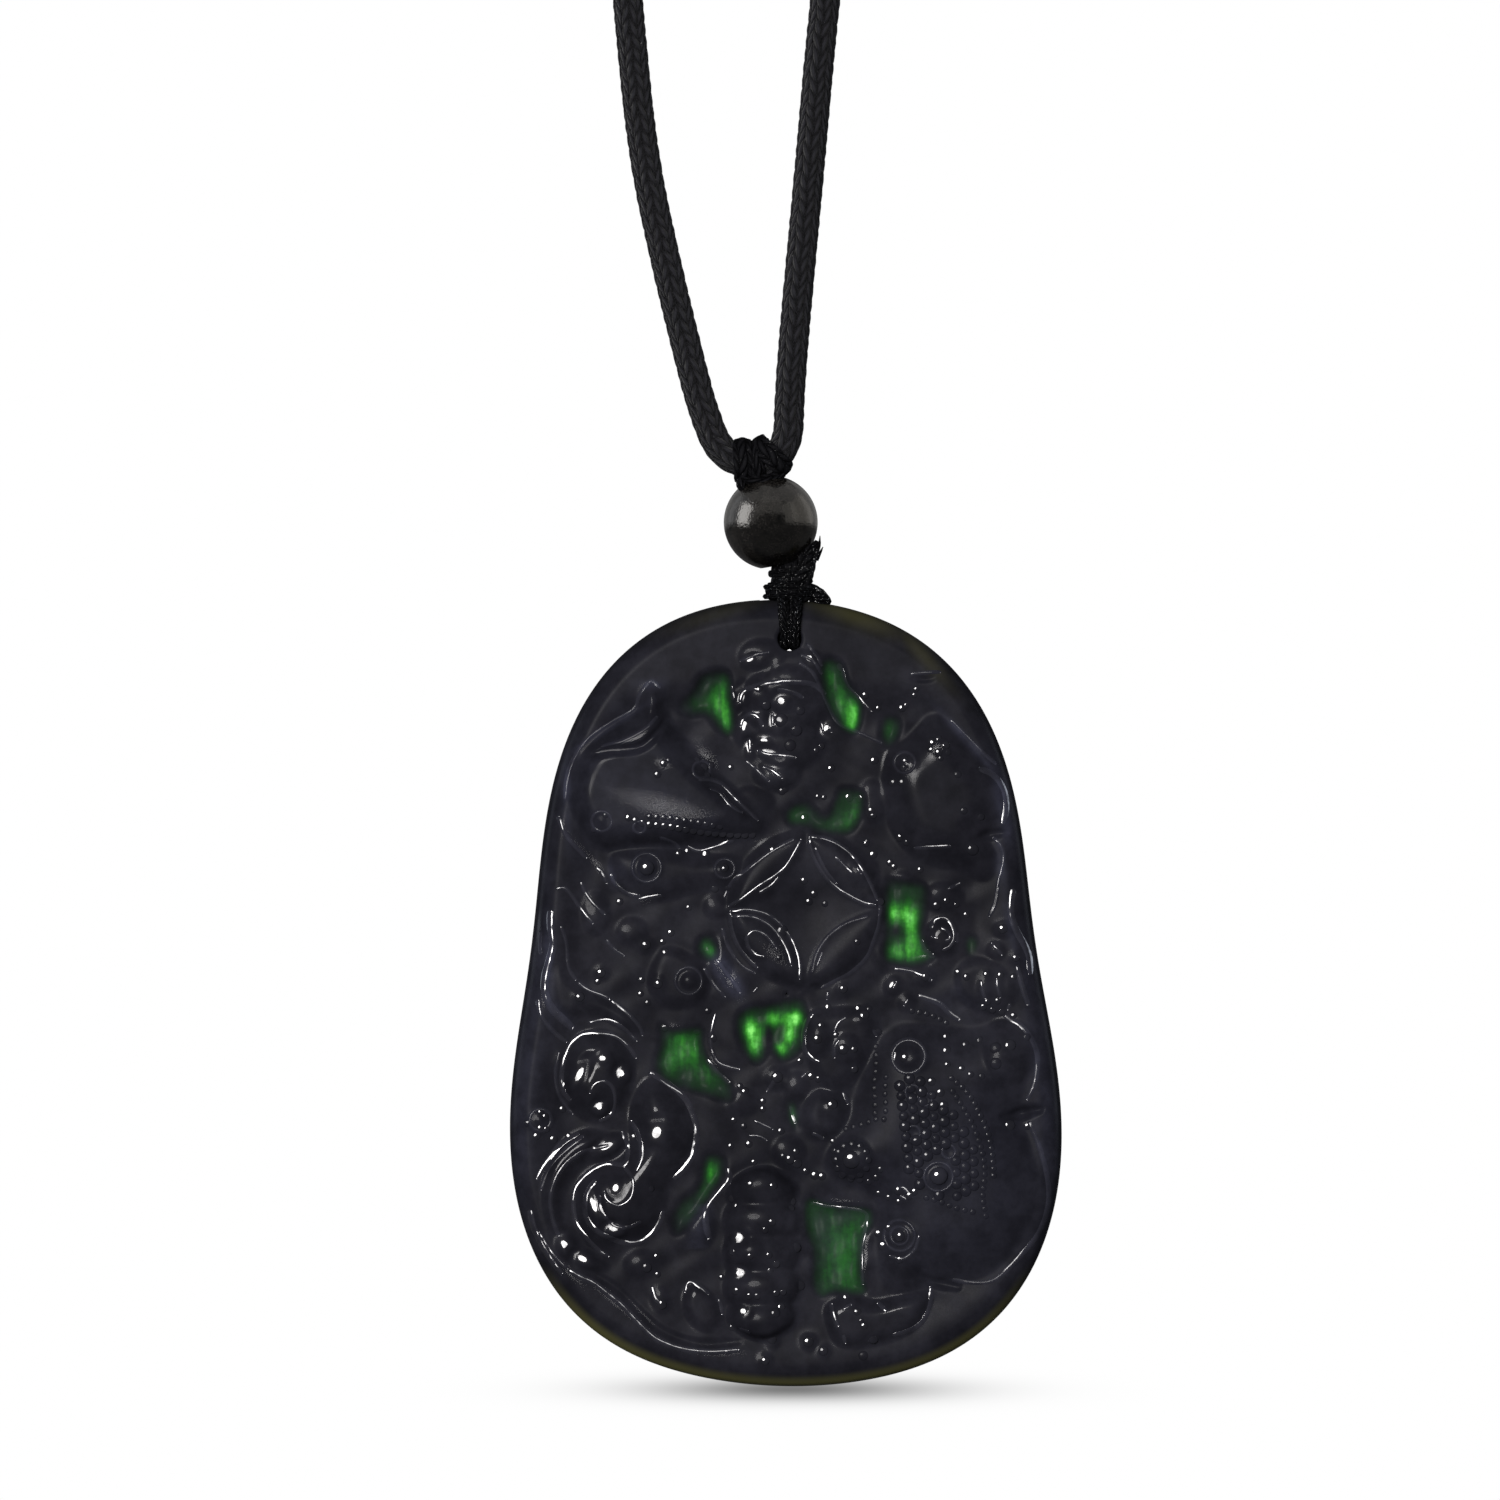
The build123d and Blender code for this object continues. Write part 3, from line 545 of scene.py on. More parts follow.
# Bodies: top level, width of the rounded edge, polish, closed outline
bodies = {
    "upper left toad": (3.1, 26, 0.0, [
        (651, 681), (660, 685), (665, 696), (668, 714), (684, 738), (700, 757), (716, 772), (736, 788),
        (754, 808),
        (768, 826), (754, 837), (722, 843), (690, 846), (660, 848), (632, 849), (606, 850), (588, 842),
        (574, 824),
        (566, 801), (567, 780), (575, 759), (590, 739), (612, 723), (633, 712), (640, 702), (641, 688)]),
    "left eye mound": (2.35, 24, 0.0, [
        (606, 852), (628, 842), (655, 840), (680, 845), (706, 850), (735, 850), (748, 866), (742, 886),
        (718, 892),
        (690, 896), (664, 903), (636, 900), (614, 886)]),
    "upper right toad": (2.9, 40, 0.0, [
        (934, 702), (950, 717), (965, 731), (981, 748), (996, 764), (1007, 784), (1010, 804), (1003, 826),
        (992, 836), (1001, 846), (1003, 858), (999, 876), (989, 888), (962, 872), (930, 866), (902, 852),
        (886, 822), (878, 785), (884, 752), (902, 738), (918, 722)]),
    "lower right toad": (2.9, 60, 0.0, [
        (1002, 1012), (1018, 1020), (1031, 1034), (1039, 1056), (1036, 1080), (1027, 1100), (1020, 1111),
        (1029, 1121), (1041, 1147), (1050, 1178), (1049, 1210), (1036, 1238), (1015, 1263), (994, 1281),
        (968, 1284), (945, 1280), (926, 1286), (905, 1300), (884, 1296), (872, 1262), (874, 1222),
        (868, 1196),
        (842, 1186), (820, 1172), (822, 1146), (842, 1118), (852, 1086), (862, 1052), (884, 1026),
        (914, 1016),
        (946, 1022), (974, 1022)]),
    "toad foot": (2.5, 16, 0.1, [
        (905, 1290), (930, 1290), (928, 1312), (916, 1330), (890, 1343), (858, 1349), (836, 1346),
        (826, 1328),
        (824, 1304), (846, 1292), (872, 1298)]),
    "upper cloud": (2.7, 30, 0.12, [
        (600, 1026), (617, 1033), (629, 1046), (636, 1062), (632, 1086), (620, 1108), (601, 1122),
        (579, 1117),
        (565, 1098), (560, 1072), (565, 1048), (579, 1031)]),
    "large cloud": (3.0, 38, 0.12, [
        (647, 1071), (662, 1078), (678, 1090), (690, 1106), (697, 1131), (692, 1155), (681, 1171),
        (668, 1190),
        (664, 1214), (650, 1234), (622, 1243), (597, 1250), (580, 1238), (573, 1211), (577, 1182),
        (592, 1165),
        (614, 1158), (628, 1142), (628, 1118), (634, 1090)]),
    "cloud arm": (2.6, 20, 0.10, [
        (580, 1128), (600, 1128), (618, 1138), (612, 1152), (590, 1158), (572, 1174), (564, 1202),
        (570, 1228),
        (590, 1252), (612, 1262), (596, 1272), (566, 1258), (545, 1230), (537, 1196), (544, 1162),
        (562, 1140)]),
    "left leaf": (2.2, 15, 0.0, [
        (552, 912), (562, 922), (568, 944), (571, 968), (586, 984), (612, 998), (634, 1012), (644, 1036),
        (622, 1030), (596, 1016), (566, 1022), (550, 1008), (545, 984), (551, 950)]),
    "lower leaf": (2.2, 12, 0.1, [
        (686, 1284), (698, 1280), (712, 1290), (722, 1304), (723, 1322), (706, 1334), (688, 1322),
        (681, 1302)]),
    "claw rest": (2.15, 16, 0.0, [
        (955, 962), (982, 952), (1006, 958), (1020, 976), (1021, 998), (1008, 1014), (984, 1016),
        (962, 1006),
        (950, 986)]),
    "middle knuckle": (2.15, 15, 0.0, [
        (660, 944), (686, 948), (704, 962), (712, 986), (700, 1006), (674, 1010), (652, 998), (646, 970)]),
    "shell": (2.35, 14, 0.1, [
        (936, 916), (952, 920), (960, 936), (954, 952), (938, 958), (925, 948), (923, 930)]),
    "right knuckles": (2.25, 18, 0.05, [
        (806, 1008), (832, 1004), (858, 1004), (880, 1022), (876, 1052), (858, 1080), (838, 1094),
        (816, 1084),
        (804, 1060), (800, 1032)]),
    "lower knuckle": (2.3, 16, 0.05, [
        (818, 1086), (842, 1090), (852, 1110), (838, 1136), (812, 1140), (800, 1120), (804, 1098)]),
}
# The bodies' lowest level, the blur as a share of the edge's width, and how steeply they fall off outside
bodyLook = {"foot": 1.7, "edgeBlur": 0.13, "outside": 0.3}

# Round lumps: x, y, sideways and upright radius
lumps = [
    (647, 867, 15, 15), (725, 868, 11, 11), (652, 697, 14, 14), (939, 1175, 15, 15), (899, 1234, 16, 16),
    (851, 1158, 22, 22), (911, 1052, 19, 19), (1009, 1050, 26, 32), (701, 767, 10, 9), (939, 746, 11, 10),
    (907, 760, 12, 11), (660, 1298, 9, 14), (772, 1338, 7, 10), (808, 1340, 9, 9), (765, 1359, 7, 8),
    (823, 1349, 7, 7), (777, 1077, 13, 12), (657, 983, 8, 11), (601, 972, 8, 8), (580, 996, 8, 8),
    (646, 944, 9, 8),
    (689, 980, 13, 13), (817, 1038, 15, 17), (846, 1048, 14, 16), (864, 1014, 10, 10), (830, 1108, 12, 12),
    (1002, 928, 9, 9), (995, 949, 9, 10), (1015, 957, 7, 7), (925, 976, 10, 9), (892, 984, 9, 10),
    (906, 1001, 9, 9),
    (842, 988, 8, 8), (541, 1120, 12, 12), (560, 1062, 6, 14), (752, 800, 22, 14), (715, 905, 12, 12),
    (632, 930, 16, 14), (595, 912, 14, 22), (872, 800, 14, 22), (862, 870, 14, 14), (942, 896, 20, 14),
    (902, 882, 12, 12), (985, 985, 9, 16), (998, 988, 7, 14), (1010, 988, 7, 15), (745, 1245, 18, 20),
    (720, 960, 10, 26), (700, 1225, 14, 22), (640, 1262, 16, 14), (880, 950, 9, 22), (788, 1150, 16, 16),
    (800, 1230, 12, 26), (742, 1100, 16, 14), (795, 1085, 12, 16), (784, 700, 44, 34), (752, 728, 20, 22),
    (790, 742, 34, 26), (776, 772, 24, 18), (752, 696, 18, 14), (800, 668, 30, 18), (762, 655, 24, 16),
]
lumpLook = {"rise": 0.22, "polish": 0.025}

# Paler patches, mostly a painted sheen on the toads' backs and painted rim light along their edges and the
# plaque's sides, and browner patches, on the crown a painted sheen: x, y, half length, half width, turn in
# degrees, strength
pale = [
    (615, 785, 75, 62, 20, 0.30), (567, 790, 42, 5, 88, 0.9), (606, 730, 46, 4, -32, 0.7),
    (652, 684, 14, 5, 0, 0.6),
    (528, 1080, 190, 14, 96, 0.45), (1048, 1120, 200, 14, 84, 0.45), (1003, 805, 36, 8, 80, 1.3),
    (970, 745, 50, 4, 48, 0.8),
    (1000, 865, 24, 5, 84, 0.8), (1009, 925, 40, 4, 78, 0.5), (1028, 980, 40, 5, 82, 0.5),
    (1042, 1150, 50, 6, 78, 0.5),
    (1036, 1060, 40, 6, 88, 0.4), (549, 965, 52, 5, 88, 1.0), (562, 1012, 24, 5, 50, 0.6),
    (636, 868, 24, 14, 0, 0.4),
    (727, 975, 24, 8, 56, 2.2), (612, 872, 16, 4, 80, 0.6), (960, 1000, 30, 20, 0, 0.3),
    (960, 1180, 110, 110, 0, 0.30),
    (700, 1225, 10, 40, 10, 0.6), (838, 1240, 26, 50, 0, 0.3), (656, 800, 58, 20, 18, 0.50),
]
# Browner patches along the crown's top edge: a painted sheen with a brown tint
brown = [(850, 609, 52, 12, 22, 0.42), (918, 648, 44, 8, 50, 0.22), (720, 612, 60, 8, -18, 0.10)]

post = {"x": 762, "top": 1168, "foot": 1336, "half": 38, "rings": 5, "ground": 1.6, "level": 3.0,
        "waist": 0.82, "dip": 0.72, "polish": 0.02, "softness": 0.10}

# Thin cells, where a painted glow stands in for the light that comes through: floor level, glow all over,
# closed outline, and brighter or darker spots as x, y, sideways and upright size and strength
cells = [
    (1.40, 0.03, [(694, 688), (702, 676), (716, 671), (729, 675), (731, 700), (734, 726), (729, 735),
                  (718, 727),
                 (706, 715), (690, 716), (680, 706)],
     [(727, 719, 5, 15, 0.55), (716, 700, 8, 13, 0.34), (722, 706, 6, 12, 0.18), (699, 704, 7, 6, 0.12),
      (725, 686, 6, 8, 0.22)]),
    (1.40, 0.04, [(823, 662), (840, 663), (848, 684), (861, 702), (860, 724), (852, 733), (834, 718),
                  (825, 697)],
     [(853, 715, 6, 13, 0.66), (842, 700, 6, 14, 0.28), (833, 690, 8, 16, 0.16), (829, 674, 8, 9, 0.16),
      (847, 727, 7, 5, 0.25)]),
    (1.55, 0.02, [(884, 717), (900, 719), (899, 735), (888, 747), (881, 735)], [(890, 731, 6, 9, 0.22)]),
    (1.50, 0.05, [(788, 810), (806, 802), (826, 816), (836, 800), (842, 789), (862, 792), (862, 812),
                  (850, 832),
                 (826, 832), (808, 826), (790, 824)],
     [(856, 812, 4, 13, 0.25), (845, 820, 11, 14, 0.17), (825, 826, 12, 6, 0.11), (798, 816, 10, 7, 0.14),
      (837, 797, 7, 8, 0.10)]),
    (1.40, 0.04, [(887, 882), (906, 881), (925, 886), (926, 910), (921, 930), (928, 948), (933, 957),
                  (915, 965),
                 (896, 962), (885, 956), (886, 920)],
     [(893, 912, 6, 9, 0.72), (908, 914, 8, 10, 0.66), (898, 952, 10, 10, 0.52), (912, 938, 7, 16, 0.52),
      (921, 955, 9, 8, 0.18), (905, 892, 14, 6, 0.12), (896, 929, 3.0, 4.5, -0.15)]),
    (1.40, 0.14, [(738, 1020), (748, 1008), (766, 1006), (784, 1001), (803, 1001), (806, 1026), (799, 1050),
                 (784, 1059), (772, 1050), (758, 1062), (744, 1048)],
     [(751, 1029, 7, 8, 0.72), (755, 1045, 5, 8, 0.75), (761, 1031, 4, 8, 0.30), (776, 1018, 8, 6, 0.55),
      (795, 1018, 7, 6, 0.95), (790, 1033, 5, 8, 0.80), (781, 1049, 4, 6, 0.70), (768, 1042, 3, 12, -0.6)]),
    (1.45, 0.07, [(662, 1024), (672, 1030), (700, 1028), (702, 1044), (709, 1062), (730, 1083), (730, 1100),
                 (712, 1095), (690, 1089), (671, 1083), (656, 1066), (661, 1044)],
     [(690, 1050, 17, 15, 0.36), (709, 1076, 11, 12, 0.20), (671, 1062, 8, 12, 0.18),
      (680, 1036, 8, 6, 0.12)]),
    (1.50, 0.04, [(702, 938), (713, 938), (718, 954), (708, 960), (698, 950)], [(712, 951, 4, 6, 0.40),
                  (705, 945, 6, 7, 0.2)]),
    (1.45, 0.03, [(706, 1156), (723, 1156), (724, 1172), (714, 1190), (703, 1206), (690, 1222), (676, 1234),
                 (672, 1214), (684, 1198), (700, 1184)],
     [(712, 1171, 6, 10, 0.42), (703, 1190, 5, 10, 0.20), (689, 1212, 8, 12, 0.10)]),
    (1.40, 0.20, [(808, 1198), (838, 1206), (868, 1208), (872, 1222), (864, 1238), (861, 1270), (864, 1292),
                 (836, 1290), (822, 1295), (814, 1284), (814, 1252), (806, 1224)],
     [(842, 1256, 15, 30, 0.12), (816, 1250, 5, 40, -0.10), (846, 1212, 18, 8, -0.06)]),
    (1.60, 0.02, [(786, 1100), (795, 1102), (800, 1122), (795, 1129),
                  (787, 1114)], [(793, 1114, 3, 7, 0.30)]),
    (1.65, 0.01, [(966, 936), (977, 938), (976, 952), (967, 954)], [(971, 945, 5, 7, 0.14)]),
]
cellLook = {"edge": 11.0, "start": 0.3, "lightStart": 3.0, "spotFall": 0.7, "waves": (0.06, 0.05)}

# Grainy patches that glisten: x, y, half length, half width, turn in degrees, strength
glisten = [
    (668, 808, 56, 13, 16, 0.34), (636, 798, 30, 14, 10, 0.20), (622, 745, 26, 7, -20, 0.7),
    (704, 765, 12, 14, 0, 0.7),
    (664, 764, 9, 5, 20, 0.4), (727, 975, 22, 7, 56, 0.45), (541, 936, 20, 3, 80, 0.6),
    (649, 900, 12, 3, -8, 0.5), (583, 848, 22, 4, 50, 0.5), (548, 1003, 20, 3, 60, 0.5),
    (690, 838, 60, 5, 2, 0.6), (560, 1262, 34, 5, 42, 0.5), (620, 1300, 44, 6, 40, 0.6),
    (700, 1349, 40, 6, 4, 0.4),
    (938, 746, 12, 10, 0, 0.7), (900, 765, 18, 10, 40, 0.35), (862, 600, 60, 5, 20, 0.5),
    (918, 636, 30, 5, 48, 0.5),
    (990, 1006, 18, 10, 0, 0.25), (838, 1200, 32, 3, 6, 0.4), (864, 1250, 36, 3, 92, 0.5),
    (682, 1027, 18, 3, 5, 0.5),
    (718, 1070, 18, 3, 50, 0.6), (921, 945, 14, 3, 70, 0.6),
    (780, 950, 22, 16, 45, 0.3),
]

# Low polished swells, each placed by the bright spot that it shows: x, y, length and width of the spot, turn
# in degrees
swells = [
    (603, 1057, 6, 4.5, 0), (580, 1073, 14, 5, -62), (622, 1072, 6, 5, 60), (600, 1106, 5, 5, 0),
    (607, 1145, 13, 5.5, -25), (657, 1131, 11, 8, -70), (616, 1186, 7, 5, -70), (594, 1203, 14, 4.5, 70),
    (614, 1227, 8, 5, 10), (566, 1244, 11, 5.5, 52), (583, 1257, 9, 5, 30), (738, 1236, 5, 4.5, 0),
    (739, 1271, 5, 4.5, 0),
    (743, 1309, 5, 4.5, 0), (740, 697, 10, 3.5, -70), (744, 725, 10, 3.5, -85), (756, 716, 7, 3.5, 10),
    (781, 701, 6, 6, 0),
    (773, 721, 9, 3, 85), (764, 741, 6, 5, 0), (749, 748, 7, 3.5, 80), (768, 753, 9, 3.5, 14),
    (776, 773, 11, 4.5, 34),
    (750, 660, 6, 2.5, -25), (810, 657, 3, 3, 0), (826, 728, 7, 3.5, -40), (891, 984, 6, 2.5, -60),
]
swellLook = {"rise": 0.03, "polish": 0.62, "margin": 1.5, "reach": 1.9, "blendFrom": 1.8, "blendOver": 0.9,
             "shineFrom": 0.85, "shineOver": 0.35}

# Sharp lines: rise, width, points. A negative rise is a groove.
lines = [
    # upper left toad: back, thigh crease, lips, folds under the jaw
    (0.14, 6, [(565, 799), (567, 778), (574, 758), (589, 738), (612, 722), (634, 709), (640, 694),
               (651, 681), (661, 688)]),
    (-0.40, 11, [(592, 755), (612, 750), (639, 747), (654, 736), (664, 722)]),
    (0.14, 6, [(602, 746), (624, 740), (646, 728), (658, 716)]),
    (0.26, 6, [(698, 779), (711, 779), (725, 785), (740, 802), (759, 820)]),
    (0.22, 5, [(709, 787), (721, 792), (731, 805), (743, 812)]),
    (-0.18, 6, [(700, 784), (716, 787), (732, 799), (752, 818)]),
    (0.20, 6, [(659, 837), (668, 840), (676, 844), (681, 850)]),
    (0.22, 6, [(686, 846), (700, 850), (716, 846), (734, 840)]),
    (0.22, 7, [(558, 815), (566, 834), (580, 850), (588, 858)]),
    (0.22, 7, [(596, 866), (603, 873), (608, 884)]),
    (0.18, 6, [(610, 872), (616, 884), (628, 893), (641, 896)]),
    (0.22, 6, [(638, 899), (650, 897), (662, 895)]),
    (0.22, 6, [(556, 888), (566, 888), (575, 899), (584, 912), (594, 924)]),
    (0.18, 6, [(581, 880), (586, 892), (595, 904), (606, 914)]),
    # left ribbon, its leaf and the rim beside it
    (0.55, 12, [(551, 909), (552, 930), (554, 944), (550, 961), (546, 976), (546, 993), (553, 1008),
                (563, 1018), (574, 1028)]),
    (0.16, 6, [(561, 924), (567, 943), (569, 966), (577, 980)]),
    (0.26, 6, [(578, 981), (590, 989), (604, 995), (611, 999)]),
    (0.20, 6, [(611, 999), (626, 1010), (640, 1026), (643, 1036)]),
    (0.16, 6, [(606, 938), (614, 948), (626, 956)]),
    (0.30, 7, [(538, 998), (541, 1013), (548, 1024), (558, 1034), (568, 1042)]),
    (0.14, 6, [(541, 930), (540, 944), (541, 954)]),
    # upper cloud
    (0.30, 7, [(637, 1058), (629, 1046), (616, 1035), (600, 1031), (584, 1032), (573, 1040),
               (566, 1054), (562, 1074), (564, 1090), (571, 1100)]),
    (0.22, 6, [(589, 1022), (605, 1019), (622, 1026), (638, 1041)]),
    (0.16, 6, [(560, 1050), (556, 1072), (559, 1092), (567, 1106), (574, 1114)]),
    (0.30, 6, [(590, 1093), (595, 1083), (605, 1080), (613, 1086), (616, 1098), (614, 1110),
               (607, 1117), (599, 1120)]),
    # large cloud and its scroll
    (0.36, 9, [(649, 1071), (662, 1078), (676, 1088), (687, 1100), (694, 1116), (697, 1132),
               (693, 1154), (684, 1168), (674, 1178)]),
    (0.28, 7, [(622, 1129), (627, 1140), (628, 1152), (624, 1163), (609, 1162), (594, 1167),
               (582, 1177), (575, 1190), (574, 1208), (578, 1225), (588, 1238), (599, 1249), (610, 1256)]),
    (0.28, 7, [(630, 1119), (637, 1130), (641, 1144), (641, 1158), (636, 1170)]),
    (0.30, 8, [(596, 1178), (588, 1191), (585, 1207), (588, 1219), (596, 1228), (609, 1236),
               (623, 1241), (638, 1241), (651, 1234), (660, 1222), (664, 1209)]),
    (0.26, 6, [(605, 1188), (607, 1197), (618, 1204), (630, 1198), (634, 1187), (632, 1175), (624, 1165)]),
    (0.18, 6, [(599, 1192), (602, 1210), (614, 1223), (628, 1226), (642, 1220)]),
    # cloud arm and the rim under it
    (0.28, 8, [(580, 1131), (566, 1139), (554, 1151), (544, 1166), (537, 1179)]),
    (0.16, 6, [(584, 1134), (568, 1146), (555, 1158), (546, 1172), (541, 1190)]),
    (0.20, 7, [(609, 1144), (596, 1147), (582, 1152), (567, 1163), (556, 1179), (551, 1198),
               (554, 1220), (560, 1236)]),
    (0.75, 9, [(530, 1208), (534, 1226), (542, 1243), (552, 1259), (563, 1273)]),
    (0.70, 8, [(538, 1230), (546, 1243), (557, 1257), (569, 1268)]),
    (0.45, 9, [(569, 1268), (580, 1275), (594, 1281), (607, 1291), (622, 1303), (635, 1317),
               (651, 1333), (662, 1340), (682, 1347), (710, 1350), (740, 1348)]),
    (-0.14, 10, [(578, 1262), (600, 1276), (618, 1288), (640, 1310), (664, 1330), (700, 1342),
                 (740, 1340)]),
    # claw, leaf and column surroundings
    (0.30, 7, [(652, 1284), (655, 1296), (664, 1306)]),
    (0.22, 6, [(684, 1292), (689, 1281), (699, 1284), (710, 1293)]),
    (0.28, 6, [(718, 1296), (721, 1304), (723, 1314)]),
    (0.34, 10, [(727, 1166), (729, 1178), (718, 1192), (707, 1206), (706, 1222), (710, 1238)]),
    (0.16, 6, [(738, 1327), (750, 1331)]),
    (0.20, 6, [(753, 1119), (764, 1124), (774, 1129)]),
    (0.16, 6, [(748, 1135), (758, 1135), (768, 1140)]),
    (0.22, 7, [(777, 1073), (772, 1084), (766, 1092)]),
    (0.22, 6, [(790, 1104), (793, 1114), (796, 1124)]),
    (0.18, 6, [(811, 1132), (818, 1135), (824, 1138)]),
    # cup round the light cells, and the strap above it
    (0.30, 7, [(716, 1012), (712, 1028), (711, 1044), (717, 1060), (728, 1066), (741, 1069)]),
    (0.30, 8, [(706, 1058), (717, 1072), (730, 1083)]),
    (0.24, 6, [(716, 958), (722, 966), (732, 979), (741, 993)]),
    (0.18, 6, [(704, 966), (714, 984), (726, 997)]),
    (0.22, 6, [(753, 992), (758, 986)]),
    # coin petals
    (0.30, 6, [(729, 910), (748, 909), (768, 914), (783, 926), (794, 943), (800, 962), (800, 979)]),
    (0.24, 6, [(731, 916), (750, 915), (767, 922), (779, 934), (788, 950), (792, 966)]),
    (0.30, 6, [(729, 911), (732, 930), (739, 947), (749, 960), (758, 968)]),
    (0.16, 6, [(722, 926), (728, 945), (741, 964), (756, 973)]),
    (0.28, 6, [(765, 956), (755, 954), (748, 946), (747, 936), (755, 930), (767, 935), (777, 948)]),
    (0.30, 6, [(808, 836), (811, 850), (819, 867), (832, 884), (848, 895), (864, 903), (876, 905)]),
    (0.22, 6, [(814, 846), (824, 868), (836, 884)]),
    (0.24, 6, [(808, 836), (824, 837), (840, 844), (856, 858), (868, 878), (878, 900)]),
    (0.20, 6, [(834, 855), (843, 864), (852, 873)]),
    (0.20, 6, [(856, 866), (862, 874)]),
    (0.26, 6, [(728, 906), (742, 898), (758, 886), (774, 876), (786, 866), (796, 850), (802, 838)]),
    (0.20, 6, [(759, 893), (772, 885), (780, 876)]),
    (0.16, 6, [(724, 898), (732, 882), (750, 866), (772, 850), (794, 838)]),
    (0.12, 6, [(880, 901), (879, 922), (873, 941), (866, 957), (850, 972), (833, 981), (820, 988)]),
    (0.13, 6, [(868, 915), (846, 922), (828, 935), (816, 953), (811, 972)]),
    (0.16, 6, [(822, 950), (816, 966)]),
    (0.20, 6, [(828, 990), (827, 1000)]),
    # right middle: shell, wavy ridge, bead-backed ridge, claw fingers
    (0.28, 6, [(930, 928), (934, 919), (944, 917), (952, 924), (955, 936), (950, 946), (942, 950)]),
    (0.26, 6, [(940, 926), (949, 932), (950, 938), (944, 940)]),
    (0.24, 6, [(930, 936), (938, 938)]),
    (0.24, 6, [(957, 931), (957, 942)]),
    (0.28, 8, [(920, 938), (924, 949), (934, 957)]),
    (0.30, 10, [(1013, 888), (1010, 908), (1015, 928), (1028, 953), (1030, 974)]),
    (0.24, 8, [(1016, 964), (1022, 987), (1028, 1005)]),
    (0.18, 7, [(998, 884), (995, 903), (988, 917)]),
    (0.26, 6, [(980, 979), (982, 990), (985, 999)]),
    (0.22, 6, [(996, 976), (997, 986), (1000, 998)]),
    (0.24, 6, [(1010, 1002), (1007, 1010)]),
    (0.26, 6, [(990, 941), (996, 948), (1002, 955)]),
    (0.22, 6, [(893, 988), (897, 980)]),
    (0.22, 6, [(903, 1006), (908, 998)]),
    (0.24, 8, [(893, 968), (910, 970), (925, 976), (932, 980)]),
    (0.20, 9, [(917, 994), (938, 1002), (951, 1014), (960, 1020)]),
    (0.18, 6, [(913, 848), (932, 847), (951, 846)]),
    (0.20, 6, [(946, 889), (961, 882)]),
    # upper right toad: back, shoulder, thigh
    (0.16, 6, [(949, 719), (963, 733), (980, 750), (996, 764)]),
    (0.26, 9, [(978, 768), (992, 774), (1003, 788), (1006, 806), (1002, 824)]),
    (0.18, 6, [(992, 836), (1001, 847), (1003, 860), (998, 880), (994, 902), (988, 916)]),
    (-0.30, 12, [(1006, 832), (990, 834), (972, 840)]),
    # crown: arcs beside the second light cell, the fold at the rim
    (0.10, 6, [(806, 643), (816, 654), (822, 666)]),
    (0.12, 6, [(798, 662), (812, 672), (820, 686), (827, 702), (838, 722), (856, 731), (882, 743)]),
    (0.26, 6, [(841, 667), (846, 684), (857, 697), (872, 712)]),
    (0.16, 6, [(909, 674), (920, 673), (932, 672), (941, 672)]),
    (-0.16, 6, [(912, 679), (928, 679), (938, 675)]),
    (0.20, 6, [(821, 720), (823, 731)]),
    (0.20, 6, [(829, 725), (832, 733)]),
    (0.20, 6, [(731, 684), (733, 700)]),
    # top figure: brow, arches, lips and folds
    (0.28, 7, [(740, 704), (742, 694), (750, 687), (760, 690)]),
    (0.18, 8, [(744, 690), (766, 683), (790, 682), (812, 684), (826, 694)]),
    (0.30, 7, [(740, 728), (742, 720), (749, 714), (757, 716), (763, 727)]),
    (0.22, 6, [(772, 712), (773, 727)]),
    (0.28, 7, [(749, 737), (751, 753)]),
    (0.22, 6, [(756, 750), (768, 754), (782, 755), (797, 758)]),
    (0.26, 7, [(762, 766), (772, 770), (783, 779)]),
    (0.18, 6, [(745, 760), (757, 770), (770, 782)]),
    (0.12, 7, [(776, 690), (792, 692), (804, 698)]),
    (0.14, 6, [(739, 662), (752, 656), (770, 652)]),
    (0.14, 6, [(800, 654), (814, 662), (822, 674)]),
    # lower right toad: outline, folds round the eyes, leg
    (0.18, 8, [(1003, 1015), (1020, 1024), (1032, 1040), (1037, 1058), (1034, 1082), (1026, 1100)]),
    (-0.50, 15, [(1040, 1108), (1022, 1112), (1002, 1116)]),
    (0.16, 8, [(1028, 1120), (1038, 1144), (1046, 1172), (1048, 1200), (1040, 1228), (1024, 1250),
               (1002, 1272)]),
    (0.10, 7, [(951, 1278), (970, 1281), (992, 1279), (1012, 1264)]),
    (-0.30, 12, [(905, 1262), (920, 1276), (940, 1282), (958, 1286)]),
    (0.24, 7, [(930, 1284), (930, 1302), (922, 1320), (908, 1329), (892, 1334)]),
    (0.26, 6, [(919, 1232), (914, 1248), (902, 1257), (888, 1254)]),
    (0.22, 6, [(894, 1190), (902, 1186), (908, 1192), (912, 1196)]),
    (0.22, 6, [(899, 1194), (906, 1198)]),
    # claws of the lower right toad
    (0.28, 7, [(831, 1301), (832, 1312), (838, 1326)]),
    (0.28, 6, [(843, 1332), (845, 1342)]),
    (0.22, 6, [(842, 1308), (852, 1302)]),
    (0.28, 7, [(877, 1300), (887, 1310)]),
    (0.20, 6, [(868, 1340), (876, 1335)]),
    # right knuckles
    (0.30, 7, [(813, 1012), (806, 1022), (803, 1036), (805, 1050), (812, 1058), (820, 1061)]),
    (0.24, 6, [(846, 1016), (838, 1022), (834, 1032)]),
    (0.28, 6, [(839, 1038), (834, 1046), (834, 1058)]),
    (0.26, 6, [(842, 1090), (846, 1097), (849, 1104)]),
    (0.24, 6, [(873, 1028), (877, 1036)]),
    (0.24, 6, [(801, 1077), (806, 1072)]),
    (0.26, 6, [(894, 1050), (893, 1060)]),
    # edge of the large light cell
